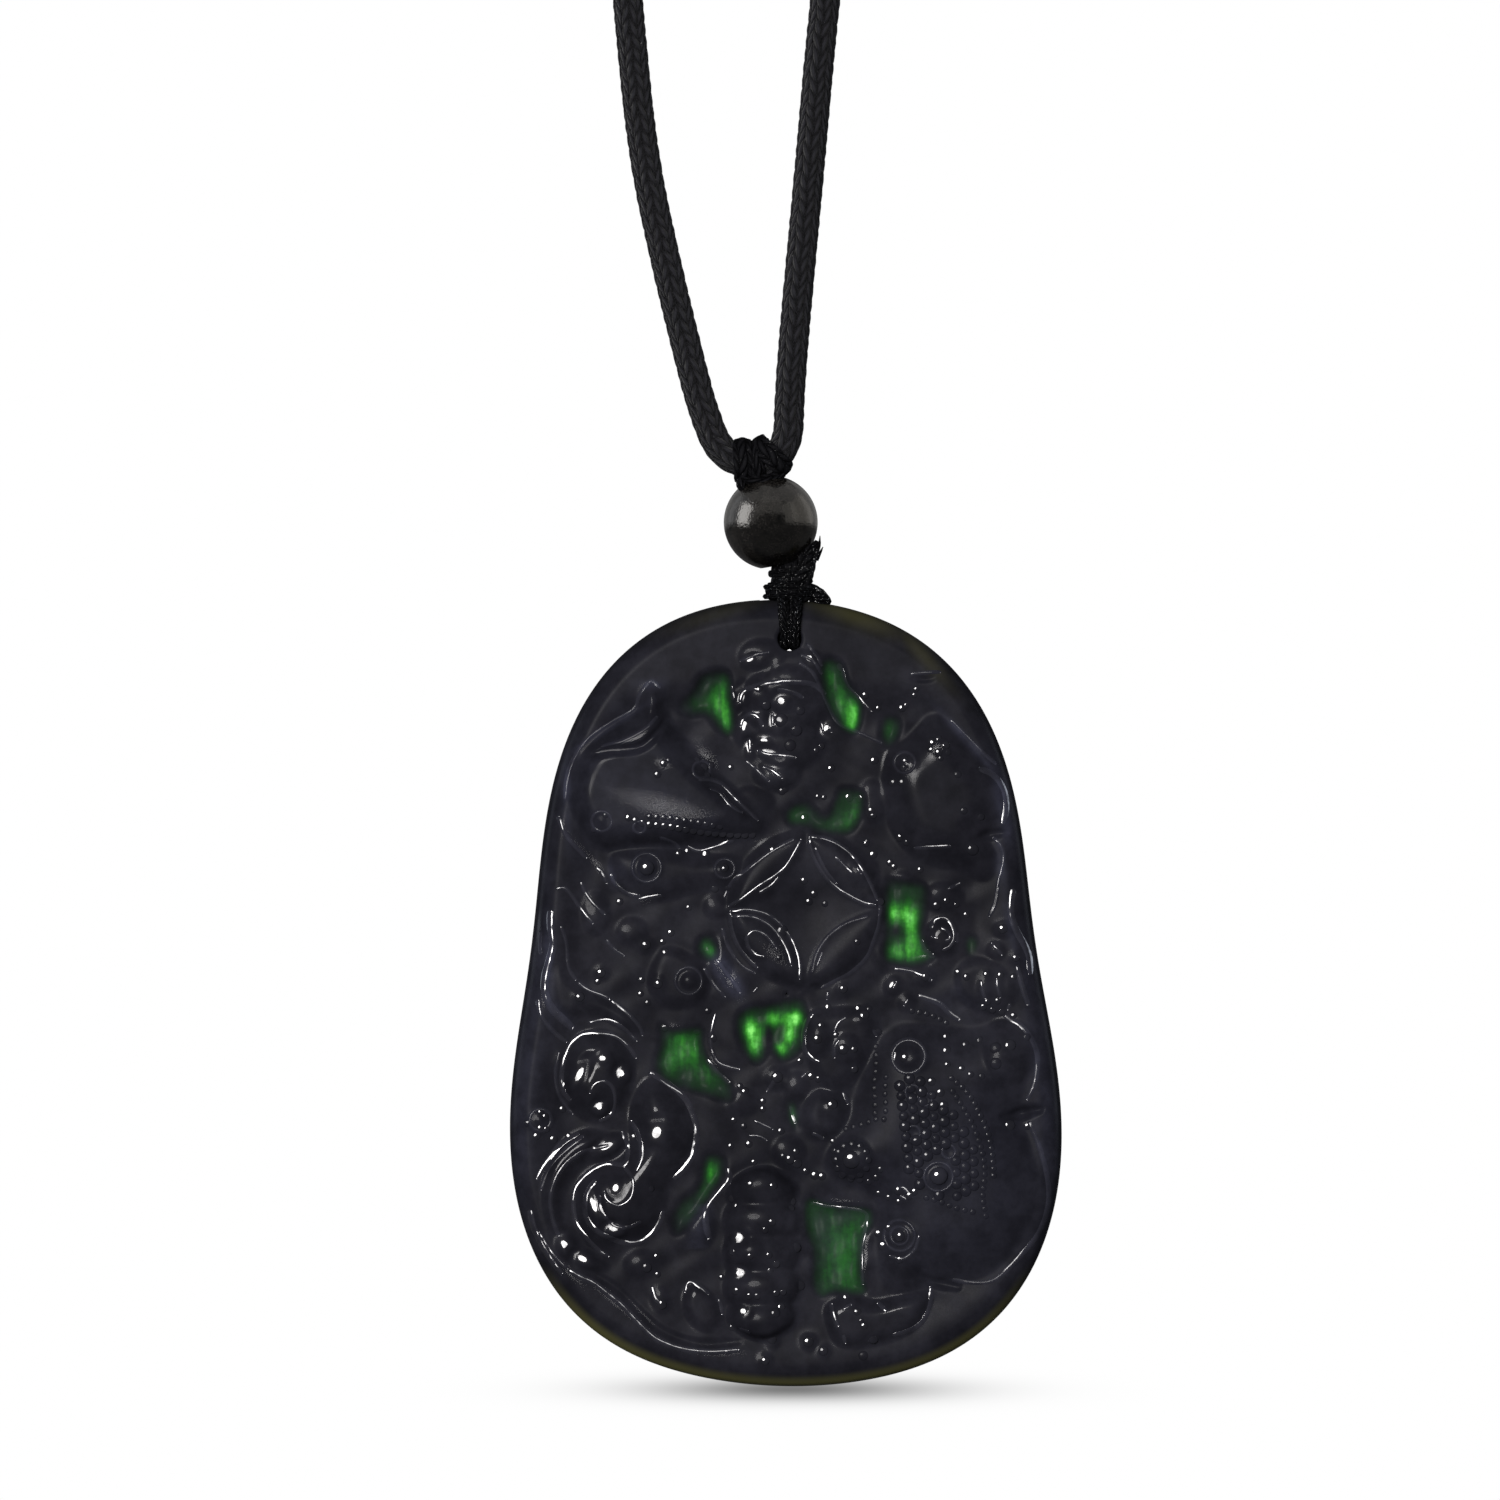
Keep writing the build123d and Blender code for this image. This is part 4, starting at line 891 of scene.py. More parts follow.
    (0.26, 6, [(810, 1202), (828, 1206), (848, 1208), (866, 1213), (864, 1232), (861, 1252), (862, 1284)]),
]

# Rings: x, y, radius, width, rise
rings = [
    (647, 867, 14.5, 5.5, 0.34), (725, 868, 10.0, 5.0, 0.28), (602, 821, 10.0, 5.0, 0.14),
    (689, 980, 13.5, 5.5, 0.30),
    (938, 1175, 14.4, 5.5, 0.32), (899, 1234, 15.5, 5.5, 0.30), (899, 1234, 9.5, 4.5, 0.18),
    (640, 827, 6.0, 5.0, 0.22),
    (904, 762, 10.5, 5.0, 0.20), (702, 769, 8.5, 5.0, 0.20), (908, 1055, 17.0, 6.0, 0.16),
    (541, 1119, 11.0, 6.0, 0.16),
    (948, 1150, 6.5, 5.0, 0.24), (925, 1098, 6.0, 5.0, 0.22), (912, 1091, 7.0, 5.0, 0.20),
    (913, 1131, 6.5, 5.0, 0.24),
]

# Dots by radius and rise: x, y of each
dots = {
    (3.0, 0.2): [(669, 760), (606, 815), (594, 829), (867, 841), (940, 758), (779, 957), (869, 1008),
                 (861, 1319)],
    (3.0, 0.25): [(816, 750), (906, 705), (914, 695), (916, 689), (818, 796), (824, 797), (956, 904)],
    (3.0, 0.3): [(878, 708)],
    (3.5, 0.18): [(981, 1075)],
    (3.5, 0.2): [(728, 887), (651, 1187), (528, 1122), (744, 1125), (740, 1085), (708, 1010),
                 (785, 789), (906, 842), (825, 903), (857, 941), (783, 1155), (774, 1184)],
    (3.5, 0.22): [(970, 1073)],
    (3.5, 0.25): [(697, 760), (711, 765), (707, 775), (679, 852), (688, 850), (642, 979), (641, 993),
                  (648, 1002), (541, 1111), (546, 1115), (547, 1128), (569, 1135), (735, 1204),
                  (791, 1207), (765, 1228), (733, 1250), (769, 1253), (770, 1269), (722, 1276),
                  (749, 1294), (757, 1294), (776, 1291), (783, 1290), (732, 1326), (873, 815),
                  (866, 843), (894, 866), (938, 738), (947, 752), (930, 749), (987, 1001), (992, 1009),
                  (997, 1000), (854, 1048), (818, 1078), (836, 1034), (947, 1063), (961, 1067),
                  (796, 1150)],
    (3.5, 0.3): [(731, 767), (689, 907), (598, 981), (663, 941), (541, 1127), (657, 1255), (658, 1273),
                 (734, 1119), (731, 1145), (754, 1161), (763, 1100), (763, 1108), (750, 1254),
                 (821, 746), (920, 869), (957, 971), (986, 973), (1000, 974), (1013, 976), (983, 1006),
                 (828, 1006), (858, 1007), (821, 1024), (800, 1060)],
    (3.5, 0.35): [(966, 914), (946, 900)],
    (4.0, 0.15): [(980, 816)],
    (4.0, 0.18): [(957, 774), (963, 810), (1026, 1036), (979, 1039)],
    (4.0, 0.2): [(782, 791), (892, 782), (901, 782), (903, 768), (878, 1031), (965, 1043), (665, 1027)],
    (4.0, 0.25): [(620, 901), (563, 1108), (736, 1289), (759, 689), (890, 862), (904, 759), (809, 901),
                  (1013, 1015), (946, 1035), (1027, 1125), (899, 1258), (781, 1130), (806, 1170),
                  (697, 1030)],
    (4.0, 0.28): [(664, 763), (658, 774), (715, 888)],
    (4.0, 0.3): [(772, 848), (671, 932), (665, 951), (633, 1136), (537, 1135), (745, 1090), (732, 1197),
                 (750, 1182), (773, 1184), (792, 1200), (772, 1220), (776, 1262), (781, 1305),
                 (831, 768), (871, 810), (899, 837), (931, 741), (938, 752), (804, 880), (880, 901),
                 (1001, 1011), (878, 1232), (888, 1226), (914, 1190)],
    (4.0, 0.35): [(749, 1143), (902, 708), (865, 695), (945, 745), (1015, 957), (966, 976), (854, 1068),
                  (811, 1075), (846, 1295)],
    (4.0, 0.4): [(804, 817), (814, 893), (857, 1310), (864, 1324)],
    (4.0, 0.45): [(704, 767)],
    (4.5, 0.25): [(936, 905), (946, 1049)],
    (4.5, 0.3): [(713, 1037), (765, 1359), (925, 976), (882, 1244), (898, 1189), (822, 1175)],
    (4.5, 0.35): [(554, 1138), (772, 1338), (874, 760), (843, 988), (931, 1080), (940, 1091), (909, 1194)],
    (4.5, 0.4): [(724, 867), (706, 853), (849, 797), (860, 798), (873, 854)],
    (5.0, 0.15): [(800, 710), (863, 1354)],
    (5.0, 0.2): [(775, 1311), (823, 1349), (766, 705), (873, 1337)],
    (5.0, 0.25): [(647, 1266), (796, 1246), (800, 1284)],
    (5.0, 0.3): [(841, 667), (790, 1158), (797, 1162)],
    (5.0, 0.35): [(864, 1014), (943, 1104), (815, 1174)],
    (5.0, 0.4): [(601, 972), (580, 996), (646, 944), (658, 983), (662, 1303), (1002, 928), (817, 1038)],
    (5.0, 0.45): [(904, 1056)],
    (5.5, 0.3): [(1009, 1124)],
    (5.5, 0.35): [(832, 1103)],
    (5.5, 0.4): [(808, 1340), (843, 1048)],
    (6.0, 0.12): [(995, 1047), (995, 1062)],
    (6.0, 0.15): [(790, 745)],
    (6.0, 0.2): [(796, 730), (782, 930)],
    (6.0, 0.22): [(972, 849)],
    (6.0, 0.25): [(1009, 1044)],
    (6.0, 0.4): [(777, 1076)],
    (6.0, 0.5): [(899, 1234)],
    (7.0, 0.2): [(781, 720)],
    (7.5, 0.55): [(647, 867)],
    (9.0, 0.4): [(851, 1158)],
    (9.0, 0.55): [(938, 1174)],
}

# Rows of beads: radius, rise, spacing, points
beadRows = [
    (4.0, 0.30, 7.4, [(629, 817), (646, 823), (664, 825), (683, 828), (702, 831), (723, 833),
                      (738, 834), (752, 834)]),
    (3.2, 0.20, 6.8, [(650, 816), (668, 817), (686, 820), (704, 823), (720, 826)]),
    (3.2, 0.18, 7.4, [(912, 1010), (930, 1014), (946, 1022)]),
    (3.2, 0.18, 7.0, [(951, 1077), (963, 1087), (971, 1097), (977, 1108), (984, 1123), (989, 1138),
                      (992, 1156), (993, 1174)]),
    (3.2, 0.16, 7.0, [(952, 1090), (960, 1102), (967, 1114), (974, 1128), (979, 1142), (983, 1158),
                      (984, 1176), (982, 1194), (985, 1214)]),
    (3.4, 0.17, 8.5, [(876, 1046), (876, 1066), (874, 1084), (875, 1098), (875, 1112)]),
    (3.2, 0.16, 8.5, [(886, 1076), (885, 1092), (886, 1106), (884, 1118)]),
    (3.2, 0.16, 7.5, [(846, 1128), (860, 1124), (876, 1118)]),
    (3.2, 0.26, 9.0, [(878, 1192), (888, 1196), (898, 1200)]),
    (3.2, 0.17, 7.8, [(926, 1196), (940, 1200), (955, 1206), (972, 1210)]),
    (3.4, 0.24, 9.5, [(833, 1140), (836, 1166), (845, 1176), (858, 1178), (872, 1180), (880, 1168)]),
]
rosette = {"centre": (851.5, 1158.4), "radius": 16.5, "count": 12, "dot": (3.6, 0.19)}

# Wart field on the toad's back: closed outline, and places kept clear as x, y, radius
wartField = {
    "outline": [(896, 1080), (914, 1076), (934, 1092), (950, 1108), (962, 1124), (972, 1142), (976, 1164),
                (972, 1188), (956, 1198), (934, 1196), (914, 1186), (906, 1160), (904, 1130), (896, 1104)],
    "clear": [(938, 1175, 18), (913, 1131, 7), (948, 1150, 8)],
    "spacing": 11.0, "rowSpacing": 0.87, "bend": 0.0022, "turn": 0.45, "radius": 5.3, "rise": 0.13,
    "leftRise": 0.05, "leftOf": 956, "leftFade": 20, "leastSize": 0.86, "sizeSpread": 0.28,
}

coin = {"centre": (806, 908), "radius": 79, "rim": 14.0, "level": 2.15, "hollow": 0.25, "hollowRadius": 60.0,
        "petalTop": 2.42, "petalWidth": 22.0}


def newSheet():
    # The drawing as arrays: one number for each unit of the sheet.
    left, right, top, foot = 505, 1075, 590, 1400
    y, x = np.mgrid[top:foot + 1, left:right + 1].astype(float)
    fields = {name: np.zeros_like(x) for name in ("height", "glow", "polish", "grain", "toneAndSheen", "edge")}
    return {"left": left, "top": top, "x": x, "y": y, **fields}


sheet = newSheet()


def windowOf(points, reach):
    # The part of the sheet that lies within this reach of the points.
    p = np.asarray(points, float)
    rows, columns = sheet["x"].shape
    x0, y0 = np.floor(p.min(0) - reach).astype(int) - (sheet["left"], sheet["top"])
    x1, y1 = np.ceil(p.max(0) + reach).astype(int) - (sheet["left"], sheet["top"]) + 1
    return slice(max(y0, 0), min(y1, rows)), slice(max(x0, 0), min(x1, columns))


def turnedWindow(x0, y0, reach, turn):
    # The part of the sheet near a place, and each number's way from it: sideways, down, along and across.
    area = windowOf([(x0, y0)], reach)
    x, y = sheet["x"][area] - x0, sheet["y"][area] - y0
    a, b = math.cos(math.radians(turn)), math.sin(math.radians(turn))
    return area, x, y, x * a + y * b, y * a - x * b


def distanceToLine(points, x, y):
    # Distance to the nearest of the line's stretches, each clipped to its ends.
    best = np.full_like(x, 1e9)
    for (x0, y0), (x1, y1) in zip(points[:-1], points[1:]):
        dx, dy = x1 - x0, y1 - y0
        share = np.clip(((x - x0) * dx + (y - y0) * dy) / max(dx * dx + dy * dy, 1e-9), 0.0, 1.0)
        best = np.minimum(best, (x - x0 - share * dx)**2 + (y - y0 - share * dy)**2)
    return np.sqrt(best)


def insideOutline(points, x, y):
    # A place is inside if a level line from it crosses the outline an odd number of times.
    crossings = np.zeros_like(x, dtype=bool)
    for (x0, y0), (x1, y1) in zip(points, np.roll(points, -1, 0)):
        if y1 != y0:
            crossings ^= ((y0 > y) != (y1 > y)) & (x < x0 + (y - y0) * (x1 - x0) / (y1 - y0))
    return crossings


def depthWithin(outline, steps, reach):
    # The part of the sheet near a closed outline, and how deep each number lies in it, negative outside.
    points = smoothLine(outline, steps, closed=True)
    area = windowOf(points, reach)
    x, y = sheet["x"][area], sheet["y"][area]
    depth = distanceToLine(np.vstack([points, points[:1]]), x, y)
    return area, x, y, np.where(insideOutline(points, x, y), depth, -depth)


def blur(field, sigma):
    # Gaussian blur, one way and then the other.
    reach = int(math.ceil(3 * sigma))
    weights = np.exp(-0.5 * (np.arange(-reach, reach + 1) / sigma)**2)
    weights /= weights.sum()
    for axis in (0, 1):
        padded = np.pad(field, [(reach, reach) if k == axis else (0, 0) for k in (0, 1)], mode="edge")
        span = field.shape[axis]
        field = sum(w * np.take(padded, np.arange(k, k + span), axis=axis) for k, w in enumerate(weights))
    return field


def addBody(top, edge, polish, outline):
    # Rise from the foot to the top by a quarter wave over the edge's width, softened so no crease is left.
    area, _, _, depth = depthWithin(outline, 5, 24)
    depth = blur(np.where(depth > 0.0, depth, bodyLook["outside"] * depth), bodyLook["edgeBlur"] * edge)
    rise = np.sin(0.5 * np.pi * np.clip(depth / edge, 0.0, 1.0))
    form = np.where(depth > 0.0, bodyLook["foot"] + (top - bodyLook["foot"]) * rise, -1.0)
    higher = (depth > 0.0) & (form > sheet["height"][area])
    sheet["polish"][area] = np.where(higher, polish, sheet["polish"][area])
    sheet["height"][area] = np.maximum(sheet["height"][area], form)


def addLump(x0, y0, radiusX, radiusY):
    # Low dome added to what is there: a share of its radius times a power of 1 minus the squared distance.
    area = windowOf([(x0 - radiusX, y0 - radiusY), (x0 + radiusX, y0 + radiusY)], 4)
    x, y = sheet["x"][area], sheet["y"][area]
    share = np.clip(1.0 - ((x - x0) / radiusX)**2 - ((y - y0) / radiusY)**2, 0.0, 1.0)
    rise = lumpLook["rise"] * min(radiusX, radiusY) * drawing["unit"] / mm
    sheet["height"][area] += rise * share**0.7
    sheet["polish"][area] = np.maximum(sheet["polish"][area], lumpLook["polish"] * softStep(3.0 * share))


def mirrorTilt(x, y):
    # How far sideways and up a place of the stone leans when it mirrors the key lamp to the camera: the
    # half-way direction between the two.
    placeX, placeZ = onSheet(x, y)
    ways = [Vector(end) - Vector((placeX, 0.0, placeZ)) for end in (keyLamp["place"], camera.location)]
    halfway = ways[0].normalized() + ways[1].normalized()
    return halfway.x / -halfway.y, -halfway.z / -halfway.y


def addSwell(x0, y0, long, wide, turn):
    # Within the spot the stone becomes a paraboloid that leans to the key lamp and curves as its size asks.
    look = swellLook
    area, x, y, along, across = turnedWindow(x0, y0, look["reach"] * max(long, wide), turn)
    leanX, leanY = mirrorTilt(x0, y0)
    share = np.hypot(along / (long + look["margin"]), across / (wide + look["margin"]))
    level = sheet["height"][int(round(y0 - sheet["top"])), int(round(x0 - sheet["left"]))]
    form = -(leanX * x + leanY * y) - 0.5 * keyLamp["spread"] * (along**2 / long + across**2 / wide)
    form = level + look["rise"] + form * drawing["unit"] / mm
    weight = softStep((look["blendFrom"] - share) / look["blendOver"])
    sheet["height"][area] += weight * (form - sheet["height"][area])
    shine = look["polish"] * softStep((look["shineFrom"] - share) / look["shineOver"])
    sheet["polish"][area] = np.maximum(sheet["polish"][area] * (1.0 - weight), shine)


def addPost():
    # Upright post: rings that bulge as sine waves along it, round across, with a rounded joint at its foot.
    x0, top, foot, half = post["x"], post["top"], post["foot"], post["half"]
    area = windowOf([(x0 - half, top), (x0 + half, foot)], 4)
    x, y = sheet["x"][area], sheet["y"][area]
    share = (y - top) / (foot - top)
    bulge = np.abs(np.sin(np.pi * post["rings"] * np.clip(share, 0.0, 1.0)))**0.7
    ends = np.sqrt(np.clip(1.0 - (2.0 * share - 1.0)**6, 0.0, 1.0))
    width = half * (post["waist"] + (1.0 - post["waist"]) * bulge) * np.maximum(ends, 1e-3)
    across = np.abs(x - x0) / width
    crown = (post["dip"] + (1.0 - post["dip"]) * bulge) * np.sqrt(np.clip(1.0 - across**2, 0.0, 1.0))
    inside = (across < 1.0) & (share > 0.0) & (share < 1.0)
    form = np.where(inside, post["ground"] + (post["level"] - post["ground"]) * crown, -1.0)
    here, soft = sheet["height"][area], post["softness"]
    sheet["polish"][area] = np.where(inside, post["polish"], sheet["polish"][area])
    sheet["height"][area] = 0.5 * (here + form + np.sqrt((here - form)**2 + soft**2)) - 0.02 * soft


def addGroove(rise, width, line):
    # Round groove sunk into what is there, narrower and shallower towards its ends.
    points = smoothLine(line, 4)
    area = windowOf(points, width)
    x, y = sheet["x"][area], sheet["y"][area]
    near = np.minimum(*[np.hypot(x - end[0], y - end[1]) for end in (points[0], points[-1])])
    taper = 0.55 + 0.45 * softStep(near / (1.5 * width))
    share = np.clip(distanceToLine(points, x, y) / (0.5 * width * taper), 0.0, 1.0)
    sheet["height"][area] += rise * taper * (1.0 - share**2)**1.25


def sinkRing(x0, y0, radius, width, rise):
    # Shallow ditch inside a ring, so that the knob in its middle stands free.
    area = windowOf([(x0, y0)], radius + width)
    inner = np.hypot(sheet["x"][area] - x0, sheet["y"][area] - y0)
    sheet["height"][area] -= 0.5 * rise * np.exp(-((inner - radius + width * 0.8) / (0.5 * width))**2)


def alongLine(line, spacing):
    # Points at even spacing along a smooth line.
    points = smoothLine(line, 6)
    full = lengthsTo(points)[-1]
    return pointsAt(points, np.linspace(0.0, full, max(2, int(round(full / spacing)) + 1)))


def wartPlaces():
    # Slanted triangular grid of places inside the outline, clear of the eyes: x, y, radius and rise of each.
    look = wartField
    outline = smoothLine(look["outline"], 5, closed=True)
    low, high = outline.min(0), outline.max(0)
    middle, count = (low + high) / 2, int(max(high - low) / look["spacing"]) + 4
    row, place = [a.ravel().astype(float) for a in np.mgrid[-count:count + 1, -count:count + 1]]
    a = (place + 0.5 * np.mod(row, 2)) * look["spacing"]
    b = row * look["spacing"] * look["rowSpacing"] + look["bend"] * a**2
    x = middle[0] + a * math.cos(look["turn"]) - b * math.sin(look["turn"])
    y = middle[1] + a * math.sin(look["turn"]) + b * math.cos(look["turn"])
    keep = insideOutline(outline, x, y)
    for clearX, clearY, reach in look["clear"]:
        keep &= np.hypot(x - clearX, y - clearY) > reach
    size = look["leastSize"] + look["sizeSpread"] * np.abs(np.sin(row * 2.3 + place * 1.7))
    rise = look["rise"] * size + look["leftRise"] * softStep((look["leftOf"] - x) / look["leftFade"])
    return np.stack([x, y, look["radius"] * size, rise], axis=1)[keep]


def addCoin():
    # A low disc with a hollow middle, and four almond petals that span its quarters.
    cx, cy = coin["centre"]
    area = windowOf([(cx, cy)], coin["radius"] + 6)
    x, y = sheet["x"][area] - cx, sheet["y"][area] - cy
    fromMiddle = np.hypot(x, y)
    rim = softStep((coin["radius"] - fromMiddle) / coin["rim"])
    disc = coin["level"] - coin["hollow"] * softStep(1.0 - fromMiddle / coin["hollowRadius"])
    sheet["height"][area] += rim * (disc - sheet["height"][area])
    chord = coin["radius"] * math.sqrt(0.5)
    for quarter in range(4):
        angle = math.pi / 4 + quarter * math.pi / 2
        outX, outY = math.cos(angle), math.sin(angle)
        across = x * outX + y * outY - chord
        along = y * outX - x * outY
        half = coin["petalWidth"] * (1.0 - (along / chord)**2)
        share = np.abs(across) / np.maximum(half, 1e-3)
        sheet["height"][area] += (coin["petalTop"] - coin["level"]) * np.clip(1.0 - share**2, 0.0, 1.0)


def addCell(level, glow, outline, spots):
    # Hollow with an uneven floor, and a painted glow for the light coming through it: an even glow and soft
    # spots.
    area, x, y, depth = depthWithin(outline, 4, 12)
    look = cellLook
    floor = level + look["waves"][0] * np.sin(x * 0.33 + 0.5 * np.sin(y * 0.11))
    floor = floor + look["waves"][1] * np.sin(y * 0.21 + x * 0.1)
    share = softStep(depth / look["edge"] + look["start"])
    here = sheet["height"][area]
    sheet["height"][area] = here * (1.0 - share) + np.minimum(here, floor) * share
    light = np.full_like(x, glow)
    for spotX, spotY, wide, tall, strength in spots:
        farness = ((x - spotX) / wide)**2 + ((y - spotY) / tall)**2
        light = light + strength * np.exp(-look["spotFall"] * farness)
    light = np.clip(light, 0.0, 1.0) * softStep((depth + look["lightStart"]) / look["edge"])
    sheet["polish"][area] *= 1.0 - share
    sheet["glow"][area] = np.maximum(sheet["glow"][area], light)


def addPatch(field, x0, y0, long, wide, turn, strength):
    # Soft slanting patch of one of the sheet's fields.
    area, _, _, along, across = turnedWindow(x0, y0, 2.2 * long, turn)
    spot = strength * np.exp(-(along / long)**2 - (across / wide)**2)
    sheet[field][area] = np.maximum(sheet[field][area], spot)


def outlineReach(angle):
    # Share of the plain ellipse that the outline reaches: 1 plus waves round it.
    reach = 1.0 + sum(share * np.cos(turns * angle) for turns, share in plaque["cosines"])
    return reach + sum(share * np.sin(turns * angle) for turns, share in plaque["sines"])


def depthInside(x, z):
    # Depth of a place inside the outline, measured towards the outline along its own ray.
    shareX, shareZ = x / (plaque["width"] / 2), z / (plaque["height"] / 2)
    share = np.hypot(shareX, shareZ) / outlineReach(np.arctan2(shareZ, shareX))
    return np.hypot(x, z) * (1.0 / np.maximum(share, 1e-6) - 1.0)


def carveSheet():
    # Ground first, then the forms from the largest to the smallest.
    x = (sheet["x"] - drawing["hangX"]) * drawing["unit"]
    z = (drawing["plaqueY"] - sheet["y"]) * drawing["unit"]
    below = softStep((plaque["crownZ"] - z) / plaque["groundEdge"])
    sunk = softStep((depthInside(x, z) - plaque["rimRound"]) / plaque["groundEdge"]) * below
    uneven = np.sin(sheet["x"] * 0.11 + 1.3 * np.sin(sheet["y"] * 0.07)) * np.sin(sheet["y"] * 0.10 + 0.8)
    sheet["height"][:] = ground["level"] + (ground["uneven"] * uneven - ground["sink"]) * sunk
    addCoin()
    for body in bodies.values():
        addBody(*body)
    addPost()
    for lump in lumps:
        addLump(*lump)
    for cell in cells:
        addCell(*cell)
    # Patches: glistening grain, paler tone that is mostly a painted sheen and painted rim light, and brown
    # that is a painted sheen on the crown
    for field, patches in (("grain", glisten), ("toneAndSheen", pale), ("edge", brown)):
        for patch in patches:
            addPatch(field, *patch)
    sheet["height"][:] = blur(sheet["height"], ground["formBlur"])
    for line in lines:
        if line[0] < 0:
            addGroove(*line)
    for ring in rings:
        sinkRing(*ring)
    sheet["glow"][:] = blur(sheet["glow"], ground["glowBlur"])
    sheet["polish"][:] = blur(sheet["polish"], ground["polishBlur"])
    for swell in swells:
        addSwell(*swell)
    sheet["height"][:] = blur(sheet["height"], ground["lastBlur"])


def readSheet(name, x, z):
    # Value of a field of the sheet at these places of the plaque, between its four nearest numbers.
    field = sheet[name]
    column = np.clip(x / drawing["unit"] + drawing["hangX"] - sheet["left"], 0, field.shape[1] - 1.001)
    row = np.clip(drawing["plaqueY"] - z / drawing["unit"] - sheet["top"], 0, field.shape[0] - 1.001)
    i, j = row.astype(int), column.astype(int)
    a, b = row - i, column - j
    return ((1 - a) * (1 - b) * field[i, j] + (1 - a) * b * field[i, j + 1]
            + a * (1 - b) * field[i + 1, j] + a * b * field[i + 1, j + 1])


def plaquePlaces():
    # A square grid pressed into the outline, then eased so that a block of it makes the cord hole round.
    columns, rows = plaque["columns"], plaque["rows"]
    s, t = np.meshgrid(np.linspace(-1, 1, columns + 1), np.linspace(-1, 1, rows + 1), indexing="ij")
    discX, discZ = s * np.sqrt(1 - t**2 / 2), t * np.sqrt(1 - s**2 / 2)
    reach = outlineReach(np.arctan2(discZ, discX))
    x, z = discX * reach * plaque["width"] / 2, discZ * reach * plaque["height"] / 2
    holeX, holeZ = plaque["hole"]
    i0, j0 = np.unravel_index(np.argmin((x - holeX)**2 + (z - holeZ)**2), x.shape)
    i, j = np.meshgrid(np.arange(columns + 1) - i0, np.arange(rows + 1) - j0, indexing="ij")
    block = plaque["holeBlock"]
    ring = np.maximum(np.abs(i), np.abs(j)) / block
    a, b = i / block / np.maximum(ring, 1e-6), j / block / np.maximum(ring, 1e-6)
    radius = (plaque["holeRadius"] + plaque["holeRound"]) * ring
    roundX = holeX + radius * a * np.sqrt(1 - b**2 / 2)
    roundZ = holeZ + radius * b * np.sqrt(1 - a**2 / 2)
    pull = softStep((plaque["holeEase"] - ring) / (plaque["holeEase"] - 1.0))
    return x + (roundX - x) * pull, z + (roundZ - z) * pull, (i0, j0)


def frontLevel(x, z):
    # Height of the front: the carved sheet, brought down to the middle plane by a quarter-round at the rim.
    level = np.maximum(readSheet("height", x, z) * mm, 0.1 * mm)
    depth = np.clip(depthInside(x, z), 0.0, None)
    return level * np.sqrt(1.0 - (1.0 - np.clip(depth / plaque["rimRound"], 0.0, 1.0))**2)


